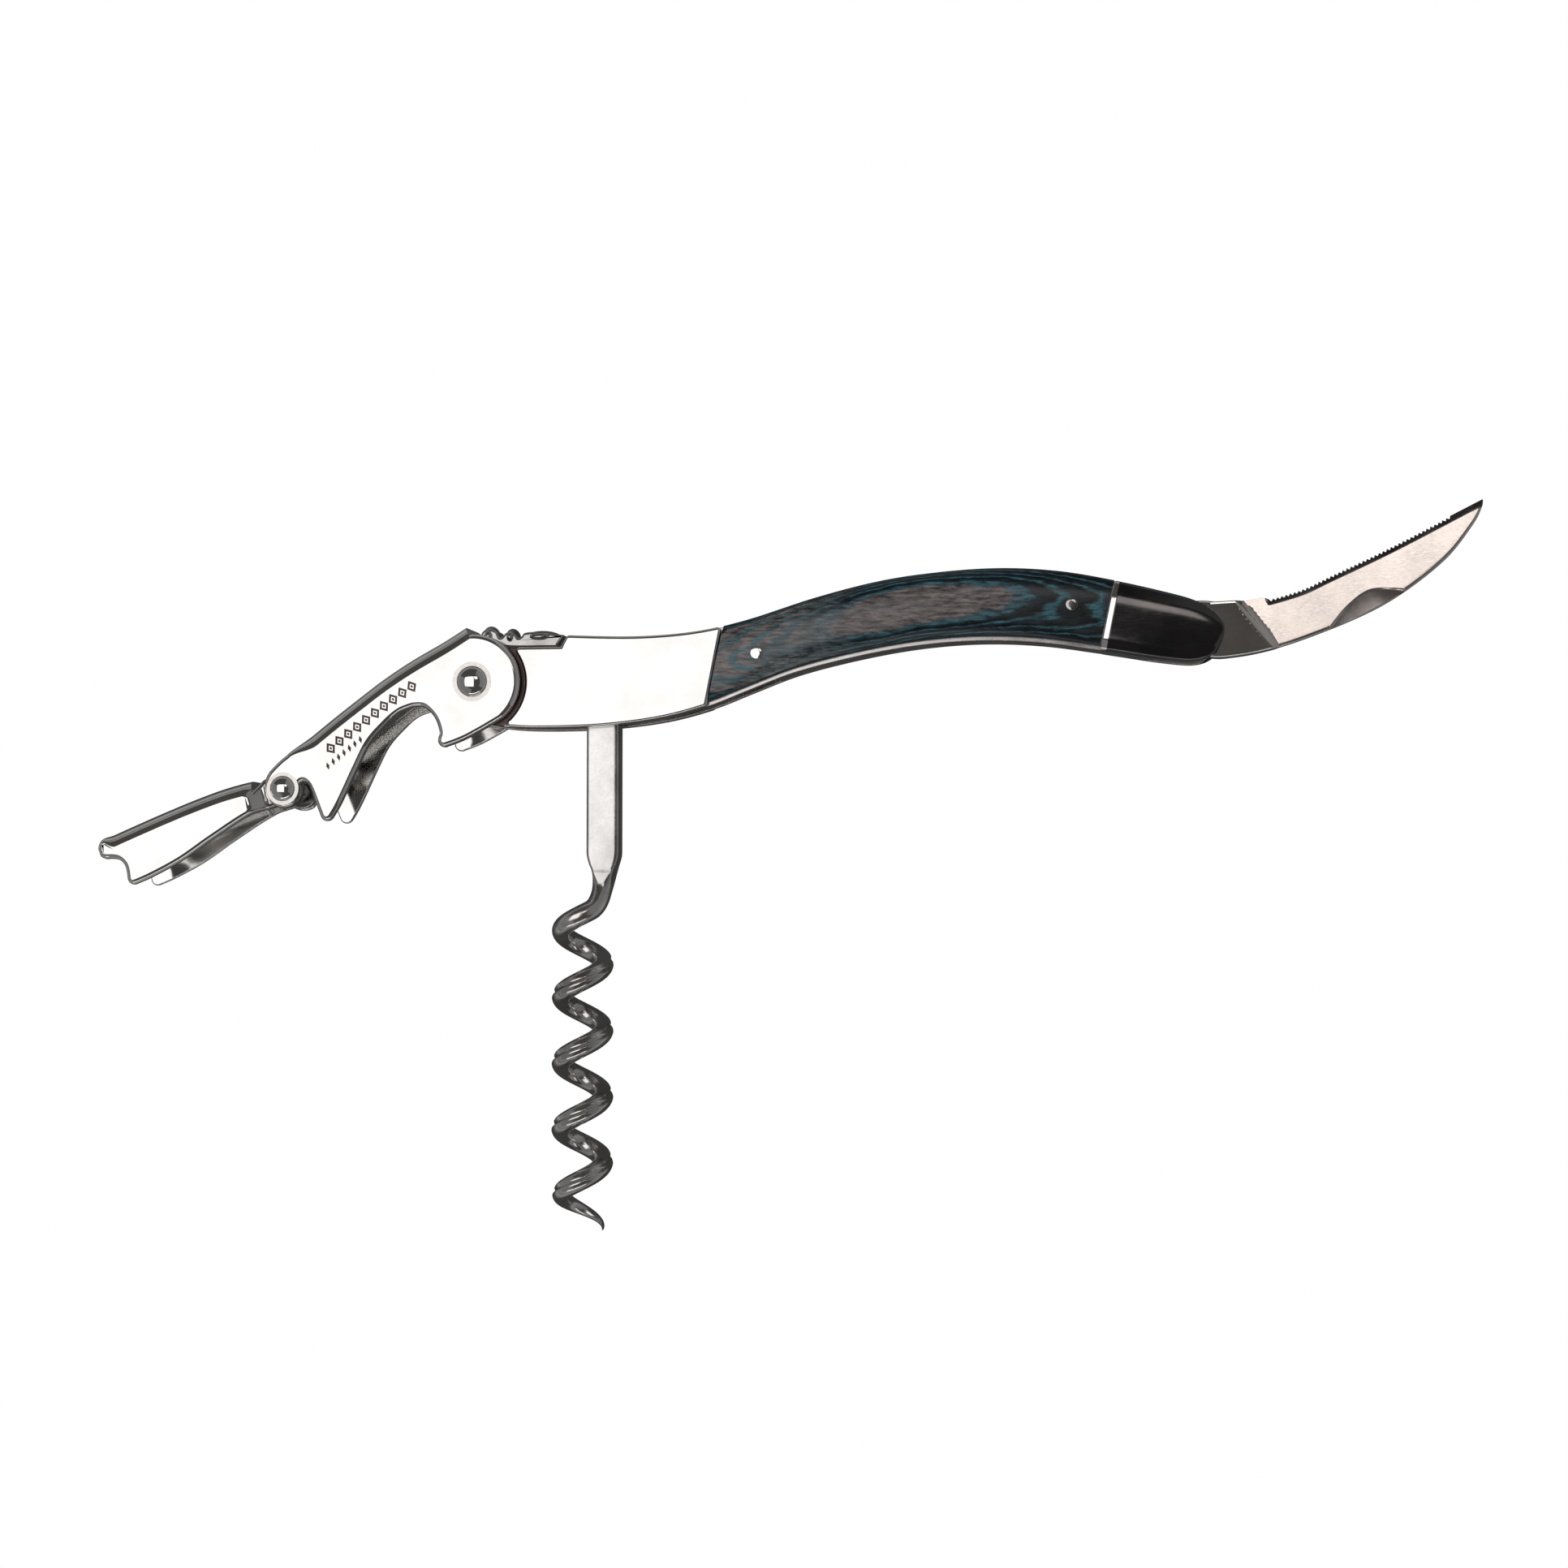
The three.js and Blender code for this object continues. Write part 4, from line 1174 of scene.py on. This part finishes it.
def cut(made, cutter):
    """Takes a cutter out of a piece's mesh, and leaves the piece's normals modifier to work on that."""
    boolean = made.modifiers.new("cut", "BOOLEAN")
    boolean.object = cutter
    boolean.solver = "EXACT"
    weighted = made.modifiers["normals"]
    weighted.show_viewport = False
    bpy.context.view_layer.update()
    evaluated = made.evaluated_get(bpy.context.evaluated_depsgraph_get())
    made.data = bpy.data.meshes.new_from_object(evaluated)
    weighted.show_viewport = True
    made.modifiers.remove(boolean)
    bpy.data.objects.remove(cutter)


cut(blade, solid("nick_cutter", crowned(nick_face, 36, 12, NICK_TOP)))

# The leaf's finishes: mirror steel before the plunge, ground steel along the edge, satin elsewhere.
GROUND_BAND = 0.95
GROUND_START = 116.6
EDGE_PLACES = [at_distance(BLADE_EDGE, edge_marks, edge_marks[-1] * k / 160) for k in range(161)]


def blade_finish(x, y):
    if beside_plunge(x, y) < PLUNGE_X + 0.2:
        return 1
    near_edge = min(math.dist((x, y), p) for p in EDGE_PLACES) < GROUND_BAND
    return 2 if x > GROUND_START and near_edge else 0


blade.data.materials.clear()
add_finishes(blade, [SATIN, STEEL, GROUND], blade_finish)

# ---- CAD nodes that keep their own shape ----
ROUNDING = 0.06

for name, finish in (
    ("front_spacer", BRUSHED), ("spring_pin", BRUSHED), ("blade_pin", BRUSHED),
    ("lever_washer_left", STEEL), ("lever_washer_right", STEEL),
):
    node = bpy.data.objects[name]
    for slot in node.material_slots:
        slot.material = finish
    rounding = node.modifiers.new("rounding", "BEVEL")
    rounding.width = ROUNDING * MM
    rounding.segments = 2
    rounding.limit_method = "ANGLE"

# ---- floor, light and camera ----
FLOOR_RADIUS = 2.9
FLOOR_Z = -0.0005
SHEEN_RADIUS = 0.6
SHEEN_Z = -0.0004
DOME_RADIUS = 3.0
WALL_RADIUS = 2.5
WALL_STEPS = 60


def emitter(name, strength):
    made, tree, shader = material(name)
    tree.nodes.remove(shader)
    glow = added(tree, "ShaderNodeEmission", {"Color": (1, 1, 1, 1), "Strength": strength})
    tree.links.new(glow.outputs["Emission"], tree.nodes["Material Output"].inputs["Surface"])
    return made


def backdrop(name, build, finish, seen_directly=True):
    """A stage object that is either seen and lights the scene, or shows only in reflections."""
    mesh = bpy.data.meshes.new(name)
    shape = bmesh.new()
    build(shape)
    shape.to_mesh(mesh)
    shape.free()
    mesh.materials.append(finish)
    made = in_scene(name, mesh)
    made.visible_glossy = not seen_directly
    made.visible_camera = seen_directly
    made.visible_diffuse = seen_directly
    return made


def distance_from_bar(tree, middle, half_length, along_it, beside):
    """How far a place is from a straight bar: (place along it) and (place across, slope, offset)."""
    across_it, slope, offset = beside
    beyond = maths(tree, "ABSOLUTE", maths(tree, "SUBTRACT", along_it, middle), 0)
    beyond = maths(tree, "MAXIMUM", maths(tree, "SUBTRACT", beyond, half_length), 0)
    aside = maths(tree, "ADD", across_it, maths(tree, "MULTIPLY", along_it, slope))
    aside = maths(tree, "ADD", aside, offset)
    squared = maths(tree, "ADD", maths(tree, "POWER", beyond, 2), maths(tree, "MULTIPLY", aside, aside))
    return maths(tree, "SQRT", squared, 0)


def disc(radius):
    return lambda shape: bmesh.ops.create_circle(shape, cap_ends=True, segments=96, radius=radius)


floor = backdrop("floor", disc(FLOOR_RADIUS), emitter("pale_floor", 1.0))
floor.location.z = FLOOR_Z

# In reflections the floor is dim round the object and brighter away from it.
sheen = emitter("pale_floor_sheen", 1.0)
tree = sheen.node_tree
place = added(tree, "ShaderNodeSeparateXYZ", {"Vector": place_in(tree)}).outputs
from_handle = distance_from_bar(tree, 45, 102, place["X"], (place["Y"], -0.245, 11))
from_worm = distance_from_bar(tree, -45, 40, place["Y"], (place["X"], 0, -17))
nearest = maths(tree, "MINIMUM", from_handle, from_worm)
tree.links.new(span(tree, nearest, 0.05, 0.32, 18, 50), tree.nodes["Emission"].inputs["Strength"])
mirrored_floor = backdrop("floor_in_reflections", disc(SHEEN_RADIUS), sheen, False)
mirrored_floor.location.z = SHEEN_Z


def dome_shell(shape):
    bmesh.ops.create_icosphere(shape, subdivisions=4, radius=DOME_RADIUS)


def wall(low_z, high_z, first, last):
    """A curved wall round the studio, between two heights in metres and two directions in degrees."""
    line = arc((0, 0), WALL_RADIUS, first, last, WALL_STEPS)

    def build(shape):
        low = [shape.verts.new((x, y, low_z)) for x, y in line]
        high = [shape.verts.new((x, y, high_z)) for x, y in line]
        for k in range(WALL_STEPS):
            shape.faces.new((low[k], low[k + 1], high[k + 1], high[k]))

    return build


backdrop("studio_dome", dome_shell, emitter("pale_studio", 1.0))
backdrop("horizon_in_reflections", wall(0.13, 0.72, 0, 360), emitter("pale_horizon", 0.24), False)
wall_glow = emitter("pale_wall", 0.17)
backdrop("left_wall_in_reflections", wall(0.74, 3.9, 155, 255), wall_glow, False)
backdrop("right_wall_in_reflections", wall(0.74, 3.9, -35, 75), wall_glow, False)

world = bpy.data.worlds.new("studio")
world.use_nodes = True
world.node_tree.nodes["Background"].inputs["Color"].default_value = (0.060, 0.056, 0.053, 1)
bpy.context.scene.world = world


def lamp(name, place, aim, wide, tall, radiance, tint=(1, 1, 1)):
    """A rectangular light at a place in millimetres about the lever's pivot, turned towards another."""
    data = bpy.data.lights.new(name, "AREA")
    data.shape = "RECTANGLE"
    data.size = wide * MM
    data.size_y = tall * MM
    data.energy = radiance * math.pi * wide * tall * MM**2
    data.color = tint
    made = in_scene(name, data)
    made.location = ORIGIN + Vector(place) * MM
    made.rotation_euler = (Vector(aim) - Vector(place)).to_track_quat("-Z", "Y").to_euler()


lamp("key_softbox", (-270, 20, 750), (-270, 20, 0), 580, 560, 1.12)
lamp("warm_softbox", (150, 235, 750), (150, 235, 0), 190, 160, 1.42, (1.0, 0.93, 0.88))
lamp("low_strip", (60, -600, 250), (45, -15, 0), 620, 60, 2.0)

# The camera looks down on the part from a little to the right of straight above.
LOOK_AT = ORIGIN + Vector((45.79, -15.20, 0)) * MM
CAMERA_DISTANCE = 0.4508
TILT_X = 0.132
TILT_Y = -0.0476
LEVEL_WAY = Vector((0.99128, 0, -0.13176))

camera_data = bpy.data.cameras.new("camera")
camera_data.lens = 70
camera_data.sensor_width = 36
camera_data.clip_start = 0.01
camera = in_scene("camera", camera_data)
back_way = Vector((
    math.sin(TILT_X) * math.cos(TILT_Y),
    math.sin(TILT_Y),
    math.cos(TILT_X) * math.cos(TILT_Y),
))
camera.location = LOOK_AT + back_way * CAMERA_DISTANCE
right_way = (LEVEL_WAY - back_way * LEVEL_WAY.dot(back_way)).normalized()
up_way = back_way.cross(right_way)
camera.rotation_euler = Matrix((right_way, up_way, back_way)).transposed().to_euler()
bpy.context.scene.camera = camera
bpy.context.scene.view_settings.view_transform = "Standard"
